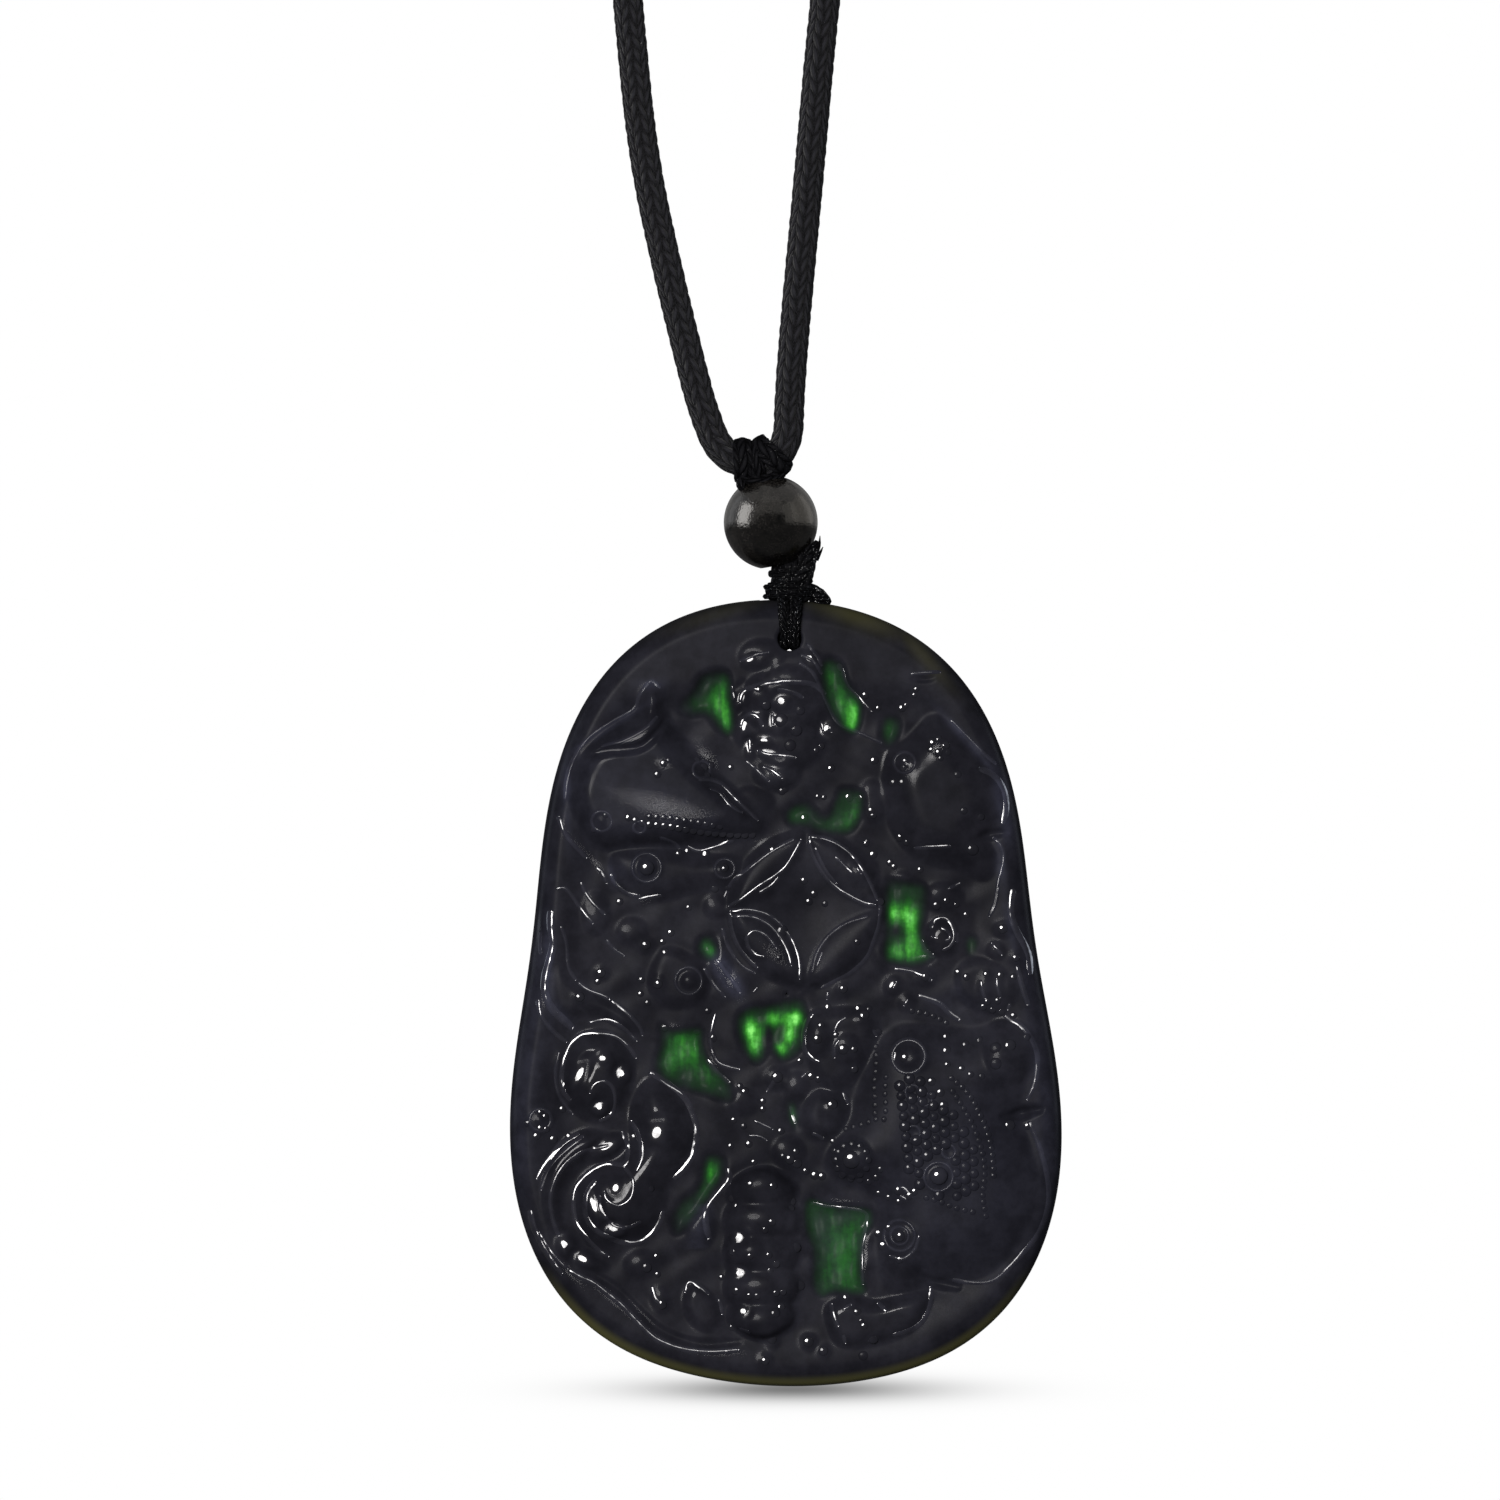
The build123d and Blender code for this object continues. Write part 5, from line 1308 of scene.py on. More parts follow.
def makePlaque():
    # Front grid, rounded edge rings, flat back in two halves, and the wall of the cord hole.
    columns, rows, block = plaque["columns"], plaque["rows"], plaque["holeBlock"]
    x, z, (i0, j0) = plaquePlaces()
    number = np.arange((columns + 1) * (rows + 1)).reshape(columns + 1, rows + 1)
    i, j = np.meshgrid(np.arange(columns), np.arange(rows), indexing="ij")
    keep = ~((np.abs(i - i0 + 0.5) < block) & (np.abs(j - j0 + 0.5) < block))
    i, j = i[keep], j[keep]
    quads = [np.stack([number[i, j], number[i + 1, j], number[i + 1, j + 1], number[i, j + 1]], axis=1)]
    front = np.stack([x, -frontLevel(x, z), z], axis=-1).reshape(-1, 3)
    allPlaces, count = [front], len(front)
    # Rounded edge, from the front grid's outermost numbers to the flat of the back
    across, up = np.arange(columns), np.arange(rows)
    edge = np.concatenate([number[across, 0], number[columns, up], number[columns - across, rows],
                           number[0, rows - up]])
    rings = [edge]
    for turn in np.linspace(0.0, np.pi / 2, plaque["backRings"] + 1)[1:]:
        inset = 1.0 - plaque["backRound"] * (1.0 - math.cos(turn)) / (plaque["width"] / 2)
        ringPlaces = front[edge] * (inset, 0.0, inset)
        ringPlaces[:, 1] = plaque["backLevel"] - plaque["backRound"] * (1.0 - math.sin(turn))
        allPlaces.append(ringPlaces)
        rings.append(count + np.arange(len(edge)))
        count += len(edge)
    quads += ringFaces(rings)
    # Wall of the hole, rounded at the front and at the back
    side = np.arange(2 * block)
    hole = np.concatenate([number[i0 - block + side, j0 - block], number[i0 + block, j0 - block + side],
                           number[i0 + block - side, j0 + block], number[i0 - block, j0 + block - side]])
    holeRings, holeStart = [hole], front[hole]
    middle = np.array([plaque["hole"][0], 0.0, plaque["hole"][1]])
    full = plaque["holeRadius"] + plaque["holeRound"]
    quarter = np.linspace(0, np.pi / 2, 4)
    for turn, atFront in [(turn, True) for turn in quarter[1:]] + [(turn, False) for turn in quarter[::-1]]:
        drop = plaque["holeRound"] * (1.0 - math.cos(turn))
        ringPlaces = middle + (holeStart - middle) * (1.0 - plaque["holeRound"] * math.sin(turn) / full)
        ringPlaces[:, 1] = holeStart[:, 1] + drop if atFront else plaque["backLevel"] - drop
        allPlaces.append(ringPlaces)
        holeRings.append(count + np.arange(len(hole)))
        count += len(hole)
    quads += [faces[:, [0, 3, 2, 1]] for faces in ringFaces(holeRings)]
    # Two halves of the back, split above and below the hole
    backRing, backHole = rings[-1], holeRings[-1]
    top, foot, holeFoot, holeTop = columns + rows + (columns - i0), i0, block, 5 * block
    right = np.concatenate([backRing[foot:top + 1], backHole[holeFoot:holeTop + 1][::-1]])
    left = np.concatenate([backRing[top:], backRing[:foot + 1],
                           np.concatenate([backHole[holeTop:], backHole[:holeFoot + 1]])[::-1]])
    quads += [right[::-1][None, :], left[::-1][None, :]]
    # Only the places in use, with the sheet's looks on the front
    places = np.concatenate(allPlaces)
    used = np.unique(np.concatenate([faces.ravel() for faces in quads]))
    renumber = np.full(len(places), -1)
    renumber[used] = np.arange(len(used))
    quads = [renumber[faces] for faces in quads]
    looks = {name: np.zeros(len(places)) for name in ("glow", "polish", "grain", "toneAndSheen", "edge")}
    for name, values in looks.items():
        values[:x.size] = readSheet(name, x, z).ravel()
    brown = plaque["brownEdge"]
    rimDepth = np.clip(depthInside(places[:, 0], places[:, 2]), 0.0, None)
    low = softStep((brown["below"] - places[:, 2]) / brown["fade"])
    rim = (1.0 - softStep(rimDepth / brown["wide"])) * low
    looks["edge"] = np.maximum(looks["edge"], rim)
    print("plaque triangles", sum(len(faces) * (faces.shape[1] - 2) for faces in quads))
    return meshPiece("carved_stone", (places + (0.0, 0.0, plaqueMiddleZ))[used], quads, stoneFinish,
                     attributes={name: values[used] for name, values in looks.items()})


def drape(x, y, above):
    # Places on the stone's front under points of the drawing, lifted to the viewer by so many millimetres.
    placeX = (x - drawing["hangX"]) * drawing["unit"]
    placeZ = (drawing["plaqueY"] - y) * drawing["unit"]
    return np.stack([placeX, -(frontLevel(placeX, placeZ) + above * mm), placeZ + plaqueMiddleZ], axis=-1)


def looksAt(places, polish):
    # Looks of a form laid on the stone: its own polish, and the painted glow and the paler tone and painted
    # sheen of the stone under it.
    x, z = places[:, 0], places[:, 2] - plaqueMiddleZ
    return {"glow": readSheet("glow", x, z), "polish": polish, "toneAndSheen": readSheet("toneAndSheen", x, z)}


ridgeLook = {"step": 1.9, "across": 9, "width": 0.80, "low": 0.035, "rise": 0.17, "sink": 0.02, "base": 0.3,
             "foot": 0.9, "ringPolish": 0.07, "beading": 0.07, "beadLength": 13.0, "ringCount": 32,
             "dull": 0.03, "shineFrom": 0.13, "shineOver": 0.15}


def makeRidges():
    # Each line is a strip laid on the stone, a low round back across and thinner at its ends.
    look = ridgeLook
    strips = [(rise, width, smoothLine(line, 5), False) for rise, width, line in lines if rise > 0]
    turn = np.linspace(0, 2 * np.pi, look["ringCount"] + 1)[:-1]
    for x0, y0, radius, width, rise in rings:
        circle = np.stack([x0 + radius * np.cos(turn), y0 + radius * np.sin(turn)], axis=1)
        strips.append((rise, width, np.vstack([circle, circle[:1]]), True))
    share = np.concatenate([np.linspace(-1, 1, look["across"]), [look["foot"], -look["foot"]]])
    corners = len(share)
    allPlaces, allFaces, allPolish, count = [], [], [], 0
    for rise, width, line, closed in strips:
        width = width * look["width"]
        full = lengthsTo(line)[-1]
        stations = np.linspace(0, full, max(6, int(full / look["step"])))
        if closed:
            stations = stations[:-1]
        x, y = pointsAt(line, stations).T
        if closed:
            dx, dy = [np.roll(a, -1) - np.roll(a, 1) for a in (x, y)]
            taper = np.ones_like(x)
        else:
            dx, dy = np.gradient(x), np.gradient(y)
            ends = np.minimum(stations, full - stations) / (1.2 * width)
            taper = np.sqrt(1.0 - (1.0 - np.clip(ends, 0.03, 1.0))**2)
        sideX, sideY = -dy / np.hypot(dx, dy), dx / np.hypot(dx, dy)
        half = 0.5 * width * (0.35 + 0.65 * taper)[:, None] * share
        above = (look["low"] + look["rise"] * rise) * (1 - share**2)**1.15 - look["sink"]
        above[-2:] = -look["base"]
        phase = 2 * np.pi * stations / look["beadLength"]
        crest = 1.0 + look["beading"] * np.sin(phase + 1.1 * np.sin(0.37 * phase + line[0, 0]))
        above = np.broadcast_to(above, half.shape) * np.where(above > 0, crest[:, None], 1.0)
        lift = np.where(np.arange(corners) < look["across"], above * taper[:, None], above)
        places = drape(x[:, None] + sideX[:, None] * half, y[:, None] + sideY[:, None] * half, lift)
        allPlaces.append(places.reshape(-1, 3))
        allFaces.append(count + gridFaces(len(x), corners, closedRows=closed, closedColumns=True))
        if not closed:
            cap = count + np.arange(corners)
            allFaces += [cap[::-1][None, :], (cap + (len(x) - 1) * corners)[None, :]]
        shine = min(1.0, max(look["dull"], (rise - look["shineFrom"]) / look["shineOver"]))
        allPolish.append(np.full(len(x) * corners, look["ringPolish"] if closed else shine))
        count += len(x) * corners
    places = np.concatenate(allPlaces)
    print("line triangles", sum(len(faces) * (faces.shape[1] - 2) for faces in allFaces))
    looks = looksAt(places, np.concatenate(allPolish))
    return meshPiece("carved_lines", places, allFaces, stoneFinish, attributes=looks)


beadLook = {"rings": 5, "around": 14, "foot": 0.9, "sink": 0.01, "base": 0.3, "rise": 0.22, "wart": 1.6,
            "seat": 0.3, "dull": 0.02, "shineFrom": 0.17, "shineOver": 0.13}


def makeBeads():
    # Half balls set in the stone: radius times sine outwards, rise times cosine up, closed flat below.
    look = beadLook
    spots = [(x, y, radius, rise) for (radius, rise), places in dots.items() for x, y in places]
    for radius, rise, spacing, line in beadRows:
        spots += [(x, y, radius, rise) for x, y in alongLine(line, spacing)]
    for angle in 2 * np.pi * np.arange(rosette["count"]) / rosette["count"]:
        spots.append((rosette["centre"][0] + rosette["radius"] * math.cos(angle),
                      rosette["centre"][1] + rosette["radius"] * math.sin(angle), *rosette["dot"]))
    warts = wartPlaces()
    steep = np.concatenate([np.ones(len(spots)), np.full(len(warts), look["wart"])])
    spots = np.concatenate([np.array(spots), warts])
    ringCount, around = look["rings"], look["around"]
    tilt = np.linspace(np.pi / 2, np.pi / 2 / ringCount, ringCount)
    turn = 2 * np.pi * np.arange(around) / around
    radius = np.concatenate([[look["foot"]], np.sin(tilt)])[None, :, None] * spots[:, 2, None, None]
    x = spots[:, 0, None, None] + radius * np.cos(turn)
    y = spots[:, 1, None, None] + radius * np.sin(turn)
    rise = look["rise"] * steep * spots[:, 2] * drawing["unit"] / mm
    above = rise[:, None] * np.concatenate([[0.0], np.cos(tilt)]) - look["sink"]
    above[:, 0] = -look["base"]
    skin = drape(x, y, np.broadcast_to(above[:, :, None], x.shape))
    # A bead mostly keeps the level of its own middle, and follows the stone's slope only a little
    seat = drape(spots[:, 0], spots[:, 1], 0.0)[:, None, None, 1] - drape(x[:, 1:], y[:, 1:], 0.0)[..., 1]
    skin[:, 1:, :, 1] += (1.0 - look["seat"]) * seat
    top = drape(spots[:, 0], spots[:, 1], rise - look["sink"])
    each = (ringCount + 1) * around + 1
    places = np.concatenate([skin.reshape(len(spots), -1, 3), top[:, None]], axis=1).reshape(-1, 3)
    start = each * np.arange(len(spots))[:, None, None]
    j = np.arange(around)
    last = ringCount * around
    quads = (start + gridFaces(ringCount + 1, around, closedColumns=True)[None])[:, :, ::-1].reshape(-1, 4)
    cap = np.stack([last + j, np.full(around, each - 1), last + np.roll(j, -1)], axis=1)
    caps = (start + cap[None]).reshape(-1, 3)[:, ::-1]
    floor = (start[:, :, 0] + j[::-1][None]).reshape(-1, around)[:, ::-1]
    shine = np.clip((spots[:, 3] - look["shineFrom"]) / look["shineOver"], look["dull"], 1.0)
    print("beads", len(spots), "triangles", 2 * len(quads) + len(caps) + len(floor) * (around - 2))
    looks = looksAt(places, np.repeat(shine, each))
    return meshPiece("carved_beads", places, [quads, caps, floor], stoneFinish, attributes=looks)


carveSheet()
report("carving drawn")
carvedStone = makePlaque()
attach(carvedStone, "root")
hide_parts("carved_plaque")
for piece in (makeRidges(), makeBeads()):
    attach(piece, "root")
report("plaque")


# Soft windings, knots and strands

def carryFrames(line, first):
    # Side vectors carried along a line: each is the last one with its part along the line taken off.
    way = np.gradient(line, axis=0)
    way /= np.linalg.norm(way, axis=1, keepdims=True)
    side = np.empty_like(way)
    current = np.asarray(first, float)
    for k, ahead in enumerate(way):
        current = current - ahead * np.dot(current, ahead)
        current /= np.linalg.norm(current)
        side[k] = current
    return side, np.cross(way, side)


def softTube(points, widths, depths, first, look, closed=False):
    # Stitched oval carried along a smooth line: half width along the side vector, half depth across it.
    dense = smoothLine(np.column_stack([points, widths, depths]), 16, closed=closed)
    if closed:
        dense = np.vstack([dense, dense[:1]])
    full = lengthsTo(dense)[-1]
    stations = np.linspace(0, full, max(8, int(full / look["step"])) + 1)
    even = pointsAt(dense, stations)
    if closed:
        wrapped = np.vstack([even[-2:-1], even, even[1:2]])
        side, depth = [a[1:-2] for a in carryFrames(wrapped[:, :3], first)]
        even, stations = even[:-1], stations[:-1]
    else:
        side, depth = carryFrames(even[:, :3], first)
    rows, around = len(stations), look["around"]
    turn = np.arange(around) / around
    along = stations / look["pitch"]
    swell = 1.0 + look["height"] * (stitchForm(turn[None, :], along[:, None], look["columns"]) - 0.6)
    angle = 2 * np.pi * turn
    skin = (even[:, None, :3] + (swell * even[:, None, 3] * np.cos(angle))[..., None] * side[:, None]
            + (swell * even[:, None, 4] * np.sin(angle))[..., None] * depth[:, None])
    faces = [gridFaces(rows, around, closedRows=closed, closedColumns=True)[:, ::-1]]
    uv = [tubeUV(rows, around, np.append(along, along[-1] + along[1]), closed)[:, ::-1].reshape(-1, 2)]
    if not closed:
        ring = np.arange(around)
        faces += [ring[None, :], (ring[::-1] + (rows - 1) * around)[None, :]]
        uv += [np.stack([turn, np.zeros(around)], 1), np.stack([turn[::-1], np.full(around, along[-1])], 1)]
    return skin.reshape(-1, 3), faces, np.concatenate(uv)


def joinedPiece(name, parts, material):
    # Several closed shells as one mesh.
    places, faces, uv, count = [], [], [], 0
    for skin, shellFaces, shellUV in parts:
        places.append(skin)
        faces += [f + count for f in shellFaces]
        uv.append(shellUV)
        count += len(skin)
    return meshPiece(name, np.concatenate(places), faces, material, uv=np.concatenate(uv))


def drawnTube(rows, first, look):
    # Open tube through rows of x and y of the drawing, then depth, half width and half depth in millimetres,
    # with minus depths towards the viewer.
    places = [onSheet(row[0], row[1]) for row in rows]
    points = [(placeX, row[2] * mm, placeZ) for (placeX, placeZ), row in zip(places, rows)]
    return softTube(points, [row[3] * mm for row in rows], [row[4] * mm for row in rows], first, look)


sideways, upwards = (1.0, 0.0, 0.0), (0.0, 0.0, 1.0)
windLook = {"step": 0.08 * mm, "around": 36, "pitch": 0.80 * mm, "columns": 6, "height": 0.16}

topKnot = {
    # x, y, direction of the long axis, half length, half depth, half width of the band, half thickness
    "wraps": [
        (743, 461, (0.05, 1.0), 1.38, 1.42, 0.74, 0.42),
        (771, 456, (0.72, 0.69), 1.42, 1.46, 0.80, 0.44),
        (757, 462, (0.12, 1.0), 1.30, 1.30, 0.55, 0.40),
    ],
    "wrapCorners": 16,
    # x, y, depth, half width and half depth: the mass that the wraps run into above the bead, and a cut end
    "throat": [(739, 474, -0.3, 0.25, 0.30), (747, 479, -0.4, 0.42, 0.95), (760, 481, -0.5, 0.52, 1.25),
               (772, 479, -0.4, 0.45, 1.05), (784, 473, -0.3, 0.28, 0.45)],
    "end": [(741, 480, -1.0, 0.36, 0.36), (741, 486, -1.2, 0.34, 0.34), (743, 492, -1.3, 0.16, 0.16)],
}


def makeTopKnot():
    # Each wrap is a closed oval round the neck cord: one axis along its way, the other from front to back.
    parts = []
    count = topKnot["wrapCorners"]
    turn = 2 * np.pi * np.arange(count) / count
    for x, y, way, long, through, width, thick in topKnot["wraps"]:
        placeX, placeZ = onSheet(x, y)
        wayX, wayZ = np.array([way[0], -way[1]]) / math.hypot(*way)
        points = np.stack([placeX + long * mm * np.cos(turn) * wayX, through * mm * np.sin(turn),
                           placeZ + long * mm * np.cos(turn) * wayZ], axis=1)
        parts.append(softTube(points, np.full(count, width * mm), np.full(count, thick * mm),
                              (wayZ, 0.0, -wayX), windLook, closed=True))
    parts.append(drawnTube(topKnot["throat"], upwards, windLook))
    parts.append(drawnTube(topKnot["end"], sideways, windLook))
    return joinedPiece("top_winding", parts, thinFinish)


lowerKnot = {
    # x, y, depth, half width and half depth in millimetres: wound neck and flare, dark lobe, cut tail, wisps
    "neck": [(790, 564, 0.3, 0.75, 0.60), (789, 567, 0.1, 1.20, 1.05), (788, 573, 0, 1.30, 1.25),
             (789, 580, 0, 1.38, 1.30),
             (790, 586, 0, 1.66, 1.50), (790, 592, 0, 1.90, 1.70), (790, 598, 0, 1.70, 1.55),
             (790, 604, 0, 1.15, 1.0),
             (790, 607, 0, 0.6, 0.5)],
    "lobe": [(800, 588, -0.2, 0.35, 0.35), (809, 591, -0.2, 0.62, 0.60), (819, 597, -0.2, 0.66, 0.62),
             (827, 601, -0.2, 0.40, 0.40), (831, 603, -0.2, 0.12, 0.12)],
    "tail": [(795, 583, -0.9, 0.95, 0.50), (801, 573, -1.1, 0.98, 0.46), (807, 561, -1.15, 0.76, 0.36),
             (812, 551, -1.05, 0.52, 0.26), (817, 541, -0.9, 0.14, 0.10)],
    "wisps": [[(811, 562, -1.1, 0.22, 0.16), (812, 552, -1.2, 0.15, 0.10), (812, 545, -1.2, 0.03, 0.03)],
              [(815, 556, -1.0, 0.20, 0.14), (819, 546, -1.0, 0.13, 0.09), (820, 536, -1.0, 0.03, 0.03)],
              [(816, 560, -0.9, 0.20, 0.14), (820, 553, -0.8, 0.12, 0.09), (823, 547, -0.8, 0.03, 0.03)]],
    # x, y, lean and radius in millimetres of the thin windings round the neck
    "windings": [(788, 571, 0.10, 1.26), (789, 577, -0.12, 1.33), (790, 583, 0.10, 1.50),
                 (790, 589, -0.08, 1.78),
                 (790, 595, 0.06, 1.82)],
    "windingThick": 0.26,
    "windingCorners": 24,
}


def makeLowerKnot():
    look = lowerKnot
    tubes = [(look["neck"], sideways), (look["lobe"], upwards), (look["tail"], sideways)]
    tubes += [(rows, sideways) for rows in look["wisps"]]
    parts = [drawnTube(rows, first, windLook) for rows, first in tubes]
    count = lowerKnot["windingCorners"]
    turn = 2 * np.pi * np.arange(count) / count
    thick = np.full(count, lowerKnot["windingThick"] * mm)
    for x, y, lean, radius in lowerKnot["windings"]:
        placeX, placeZ = onSheet(x, y)
        points = np.stack([placeX + radius * mm * np.cos(turn), 0.88 * radius * mm * np.sin(turn),
                           placeZ + lean * radius * mm * np.cos(turn)], axis=1)
        parts.append(softTube(points, thick * 0.8, thick, upwards, windLook, closed=True))
    return joinedPiece("lower_winding", parts, loopFinish)


strand = {
    # depth, height above the hang point's level, half thickness, and share of the distance apart
    "path": [(-1.2, -294.2, 0.46, 1.1), (-2.0, -294.8, 0.46, 1.0), (-2.48, -295.6, 0.44, 0.9),
             (-2.54, -296.5, 0.40, 0.8),
             (-2.48, -297.2, 0.38, 0.75), (-2.1, -297.66, 0.44, 0.74), (-0.8, -297.70, 0.46, 0.70),
             (1.0, -297.25, 0.46, 1.0),
             (2.85, -296.80, 0.46, 1.0), (3.10, -296.1, 0.48, 1.0), (2.9, -295.3, 0.52, 1.0),
             (1.9, -294.5, 0.52, 1.1),
             (1.1, -294.1, 0.5, 1.1)],
    "middleX": 0.27, "apart": 0.47,
    "look": {"step": 0.08 * mm, "around": 28, "pitch": 0.52 * mm, "columns": 6, "height": 0.22},
}


def makeStrand(name, side):
    points = [((strand["middleX"] + side * strand["apart"] * wide) * mm, depth * mm, height * mm)
              for depth, height, _, wide in strand["path"]]
    thick = [row[2] * mm for row in strand["path"]]
    return joinedPiece(name, [softTube(points, thick, thick, sideways, strand["look"])], loopFinish)


bead = {"centre": (-1.16 * mm, 0.0, -288.41 * mm), "radius": 3.58 * mm, "tilt": 10.0, "bore": 0.8 * mm,
        "mouth": 1.35 * mm, "dish": 0.22 * mm, "around": 96, "rings": 72,
        "lip": [(0.92, 0.25), (0.78, 0.75)]}  # shares of the mouth's width and of the dish's depth


def makeBead():
    # Profile of a ball with a straight bore and dished mouths, turned round the bore's axis.
    bore, mouth, dish, radius = bead["bore"], bead["mouth"], bead["dish"], bead["radius"]
    start = math.asin(mouth / radius)
    polar = np.linspace(start, np.pi - start, bead["rings"])
    ball = np.stack([radius * np.sin(polar), radius * np.cos(polar)], axis=1)
    rim = ball[0, 1]
    top = np.array([(bore + (mouth - bore) * out, rim - dish * down) for out, down in bead["lip"]])
    inner = np.array([(bore, rim - 1.5 * dish), (bore, 0.0), (bore, -rim + 1.5 * dish)])
    profile = np.concatenate([ball, top * (1.0, -1.0), inner[::-1], top[::-1]])
    angle = 2 * np.pi * np.arange(bead["around"]) / bead["around"]
    skin = np.stack([profile[:, None, 0] * np.cos(angle), profile[:, None, 0] * np.sin(angle),
                     np.repeat(profile[:, 1:2], len(angle), axis=1)], axis=-1)
    lean = math.radians(bead["tilt"])
    turned = np.stack([skin[..., 0] * math.cos(lean) - skin[..., 2] * math.sin(lean), skin[..., 1],
                       skin[..., 0] * math.sin(lean) + skin[..., 2] * math.cos(lean)], axis=-1)
    faces = gridFaces(len(profile), len(angle), closedRows=True, closedColumns=True)
    return meshPiece("round_bead", (turned + bead["centre"]).reshape(-1, 3), [faces], beadFinish)


for piece, node, slot in ((makeTopKnot(), "top_knot", "braid"), (makeLowerKnot(), "lower_knot", "braid"),
                          (makeStrand("strand_left", -1), "loop_strand_left", "braid"),
                          (makeStrand("strand_right", 1), "loop_strand_right", "braid"),
                          (makeBead(), "spacer_bead", "bead_stone")):
    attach(piece, "root")
    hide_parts(node)
threadMesh = frame["nodes"]["bead_thread"].data
threadMesh.materials.clear()
threadMesh.materials.append(thinFinish)
report("bead, knots and strands")


# Studio: white surroundings for the camera, dim ones for reflections, soft boxes and a pale floor
stoneAim, beadAim = (0.0, 0.0, -0.32), (0.0, 0.0, -0.29)
studio = {
    "seen": 1.0, "dim": 0.08,
    # name, place, size, aimed at, radiance, colour, and what it lights, where "stone" is all but the bead
    "boxes": [
        ("key", keyLamp["place"], keyLamp["size"], stoneAim, 54.0, (1.0, 0.98, 0.97), "stone"),
        ("left rear", (-0.75, 0.30, -0.30), (0.30, 0.70), stoneAim, 4.0, (0.80, 0.87, 1.0), "stone"),
        ("right rear", (0.75, 0.30, -0.30), (0.30, 0.70), stoneAim, 4.0, (0.80, 0.87, 1.0), "stone"),
        ("above", (0.0, -0.80, -0.05), (0.50, 0.24), stoneAim, 16.0, (1.0, 0.99, 0.98), "lines"),
        ("beside", (-0.27, -0.80, -0.32), (0.24, 0.50), stoneAim, 16.0, (1.0, 0.99, 0.98), "lines"),
        ("left back", (-1.45, 1.5, -0.1), (2.4, 3.0), beadAim, 0.30, (1.0, 1.0, 1.0), "bead"),
        ("right back", (1.45, 1.5, -0.1), (2.4, 3.0), beadAim, 0.30, (1.0, 0.98, 0.95), "bead"),
        ("window", (-0.80, -0.25, -0.16), (0.50, 0.92), beadAim, 5.0, (1.0, 0.97, 0.93), "bead"),
        ("front wall", (0.0, -1.60, 1.62), (2.4, 2.5), (0.0, 0.0, 1.62), 0.36, (1.0, 0.95, 0.88), "bead"),
        ("front left", (-1.90, -1.50, 0.62), (1.4, 2.3), (-0.2, 0.0, 0.3), 0.34, (1.0, 0.96, 0.92), "bead"),
        ("front right", (1.90, -1.50, 0.62), (1.4, 2.3), (0.2, 0.0, 0.3), 0.54, (1.0, 0.95, 0.86), "bead"),
        ("ceiling", (0.0, 0.2, 2.2), (5.0, 3.6), (0.0, 0.21, 0.0), 0.36, (1.0, 0.96, 0.92), "bead"),
        ("left wall", (-2.4, 0.3, -0.2), (3.2, 4.6), (0.0, 0.3, -0.2), 0.44, (0.95, 0.97, 1.0), "bead"),
        ("right wall", (2.4, 0.3, -0.2), (3.2, 4.6), (0.0, 0.3, -0.2), 0.60, (1.0, 0.94, 0.84), "bead"),
        ("table", (0.0, -1.2, -1.06), (1.7, 1.4), (0.0, -0.3, -0.3), 0.55, (0.92, 0.93, 1.0), "bead"),
    ],
    # shadow: its middle, half width and half depth, how dark it is and how it falls off
    "floor": {"z": -354.45 * mm, "half": 4.0, "shadow": (0.5 * mm, 11.1 * mm, 16.3 * mm), "depth": 0.80,
              "fall": 2.718},
}


def seenStrength(n, strength):
    # This strength for what the camera sees directly, and the dim one for all reflections.
    return n.spread(n.add("ShaderNodeLightPath").outputs["Is Camera Ray"], 0.0, 1.0, studio["dim"], strength)


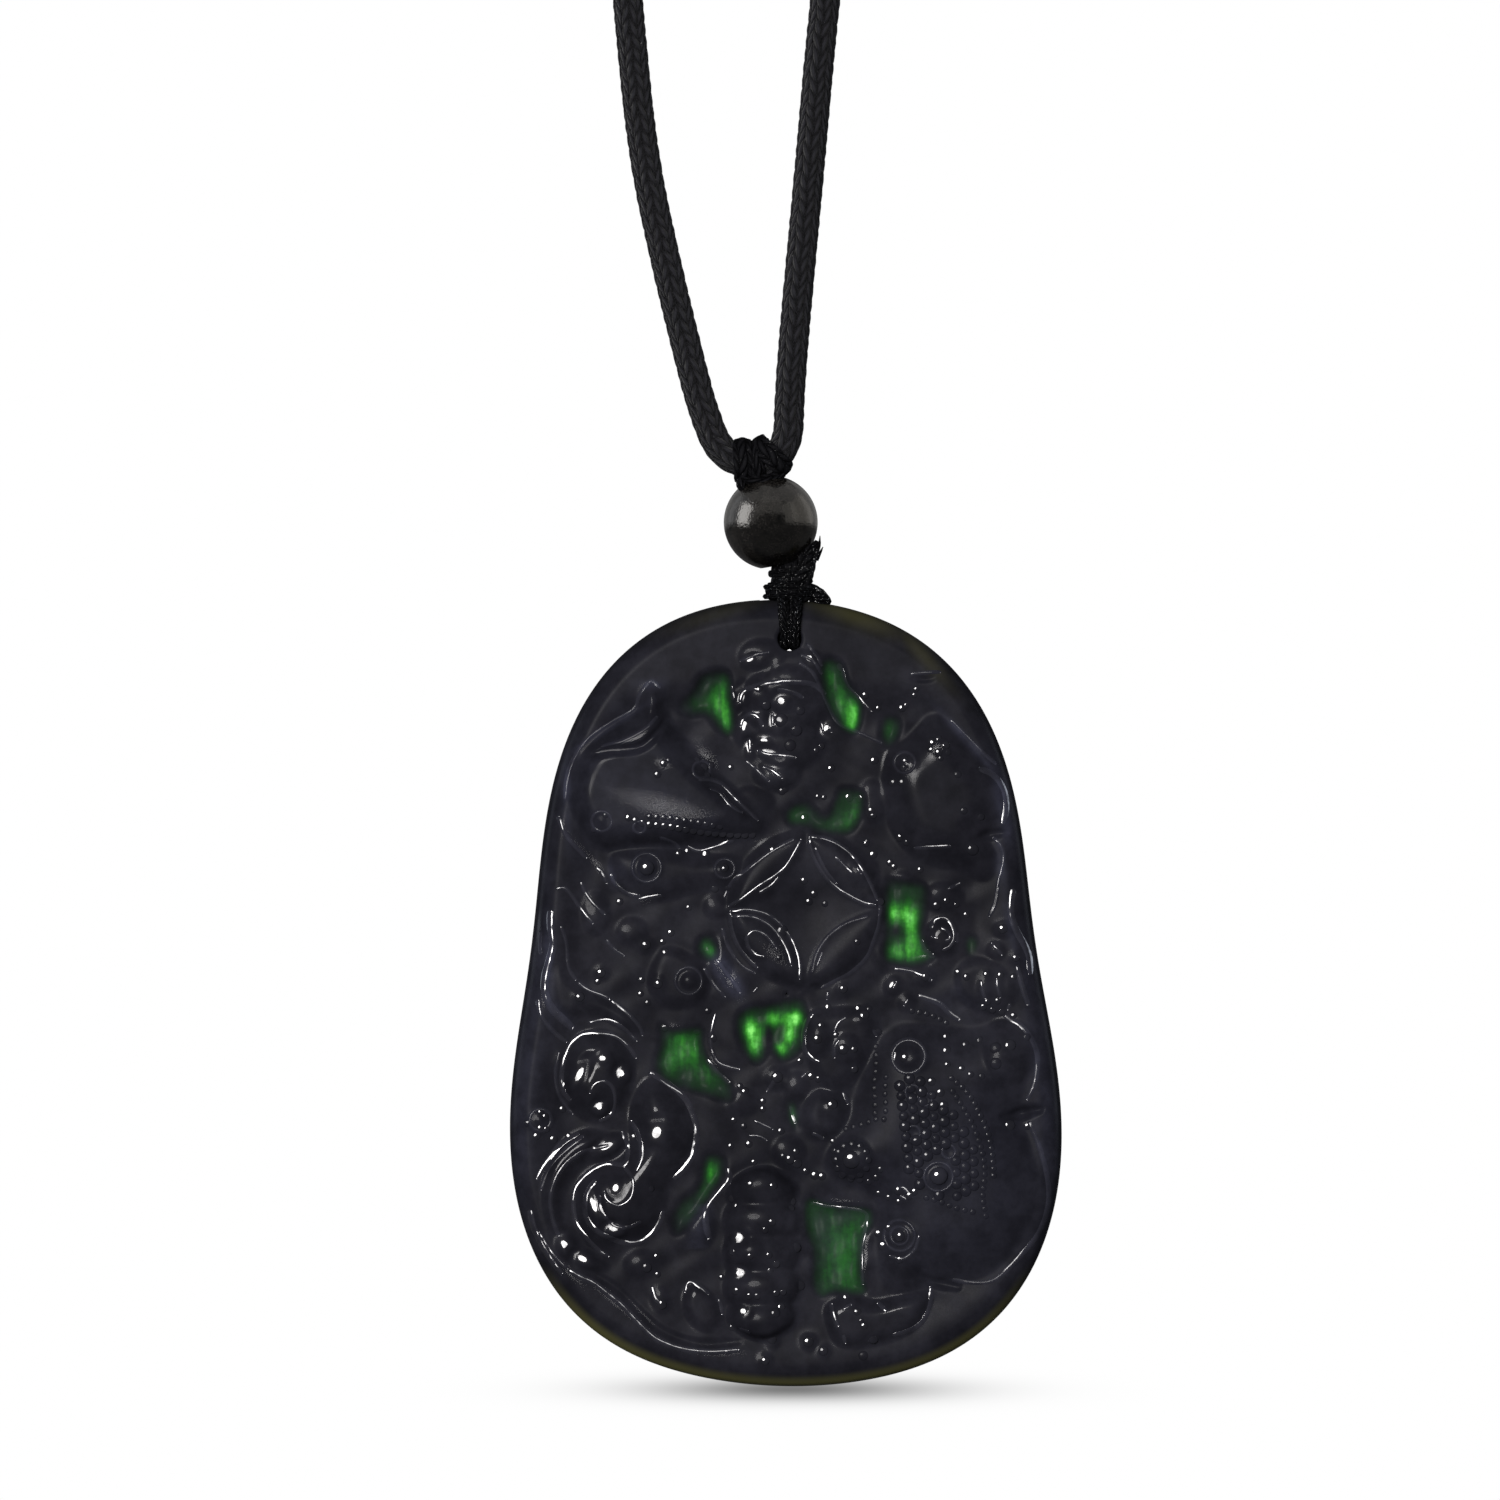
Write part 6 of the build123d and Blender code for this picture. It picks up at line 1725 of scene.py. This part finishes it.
def makeStudio():
    world = bpy.data.worlds.new("studio")
    bpy.context.scene.world = world
    n = emptyTree(world)
    strength = seenStrength(n, studio["seen"])
    ground = n.add("ShaderNodeBackground", {"Color": (1.0, 1.0, 1.0, 1.0), "Strength": strength})
    n.add("ShaderNodeOutputWorld", {0: ground.outputs[0]})
    names = {"bead": "bead alone", "stone": "all but the bead", "lines": "raised lines alone"}
    lit = {key: bpy.data.collections.new(name) for key, name in names.items()}
    for piece in bpy.data.objects:
        if piece.type == "MESH":
            lit["bead" if piece.name == "round_bead" else "stone"].objects.link(piece)
    lit["lines"].objects.link(bpy.data.objects["carved_lines"])
    for name, place, size, aim, radiance, colour, group in studio["boxes"]:
        lamp = bpy.data.lights.new(name, "AREA")
        lamp.shape = "ELLIPSE" if name == "key" else "RECTANGLE"
        lamp.size, lamp.size_y = size
        lamp.energy = radiance * math.pi * size[0] * size[1]
        lamp.color = colour
        holder = bpy.data.objects.new(name, lamp)
        bpy.context.scene.collection.objects.link(holder)
        holder.light_linking.receiver_collection = lit[group]
        holder.location = place
        holder.rotation_mode = "QUATERNION"
        holder.rotation_quaternion = (Vector(aim) - Vector(place)).to_track_quat("-Z", "Y")


def makeFloor():
    # Pale floor just under the stone, evenly bright, with a painted contact shadow where it all but touches.
    look = studio["floor"]
    half, z = look["half"], look["z"]
    middle, wide, deep = look["shadow"]
    material = bpy.data.materials.new("pale floor")
    n = emptyTree(material)
    scaled = n.add("ShaderNodeMapping", {"Vector": n.place(), "Location": (-middle / wide, 0.0, 0.0),
                                         "Scale": (1.0 / wide, 1.0 / deep, 0.0)}).outputs[0]
    reach = n.add("ShaderNodeVectorMath", {0: scaled}, operation="LENGTH").outputs["Value"]
    # Painted shadow: the floor's glow is dimmed in a soft ellipse under the stone
    fade = n.maths("POWER", look["fall"], n.times(n.times(reach, reach), -1.0))
    strength = seenStrength(n, n.maths("SUBTRACT", 1.0, n.times(fade, look["depth"])))
    glow = n.add("ShaderNodeEmission", {"Color": (1.0, 1.0, 1.0, 1.0), "Strength": strength})
    n.add("ShaderNodeOutputMaterial", {"Surface": glow.outputs[0]})
    corners = np.array([(-half, -half, z), (half, -half, z), (half, half, z), (-half, half, z)])
    floor = meshPiece("floor", corners, [np.array([[0, 1, 2, 3]])], material)


makeFloor()
makeStudio()
report("studio")
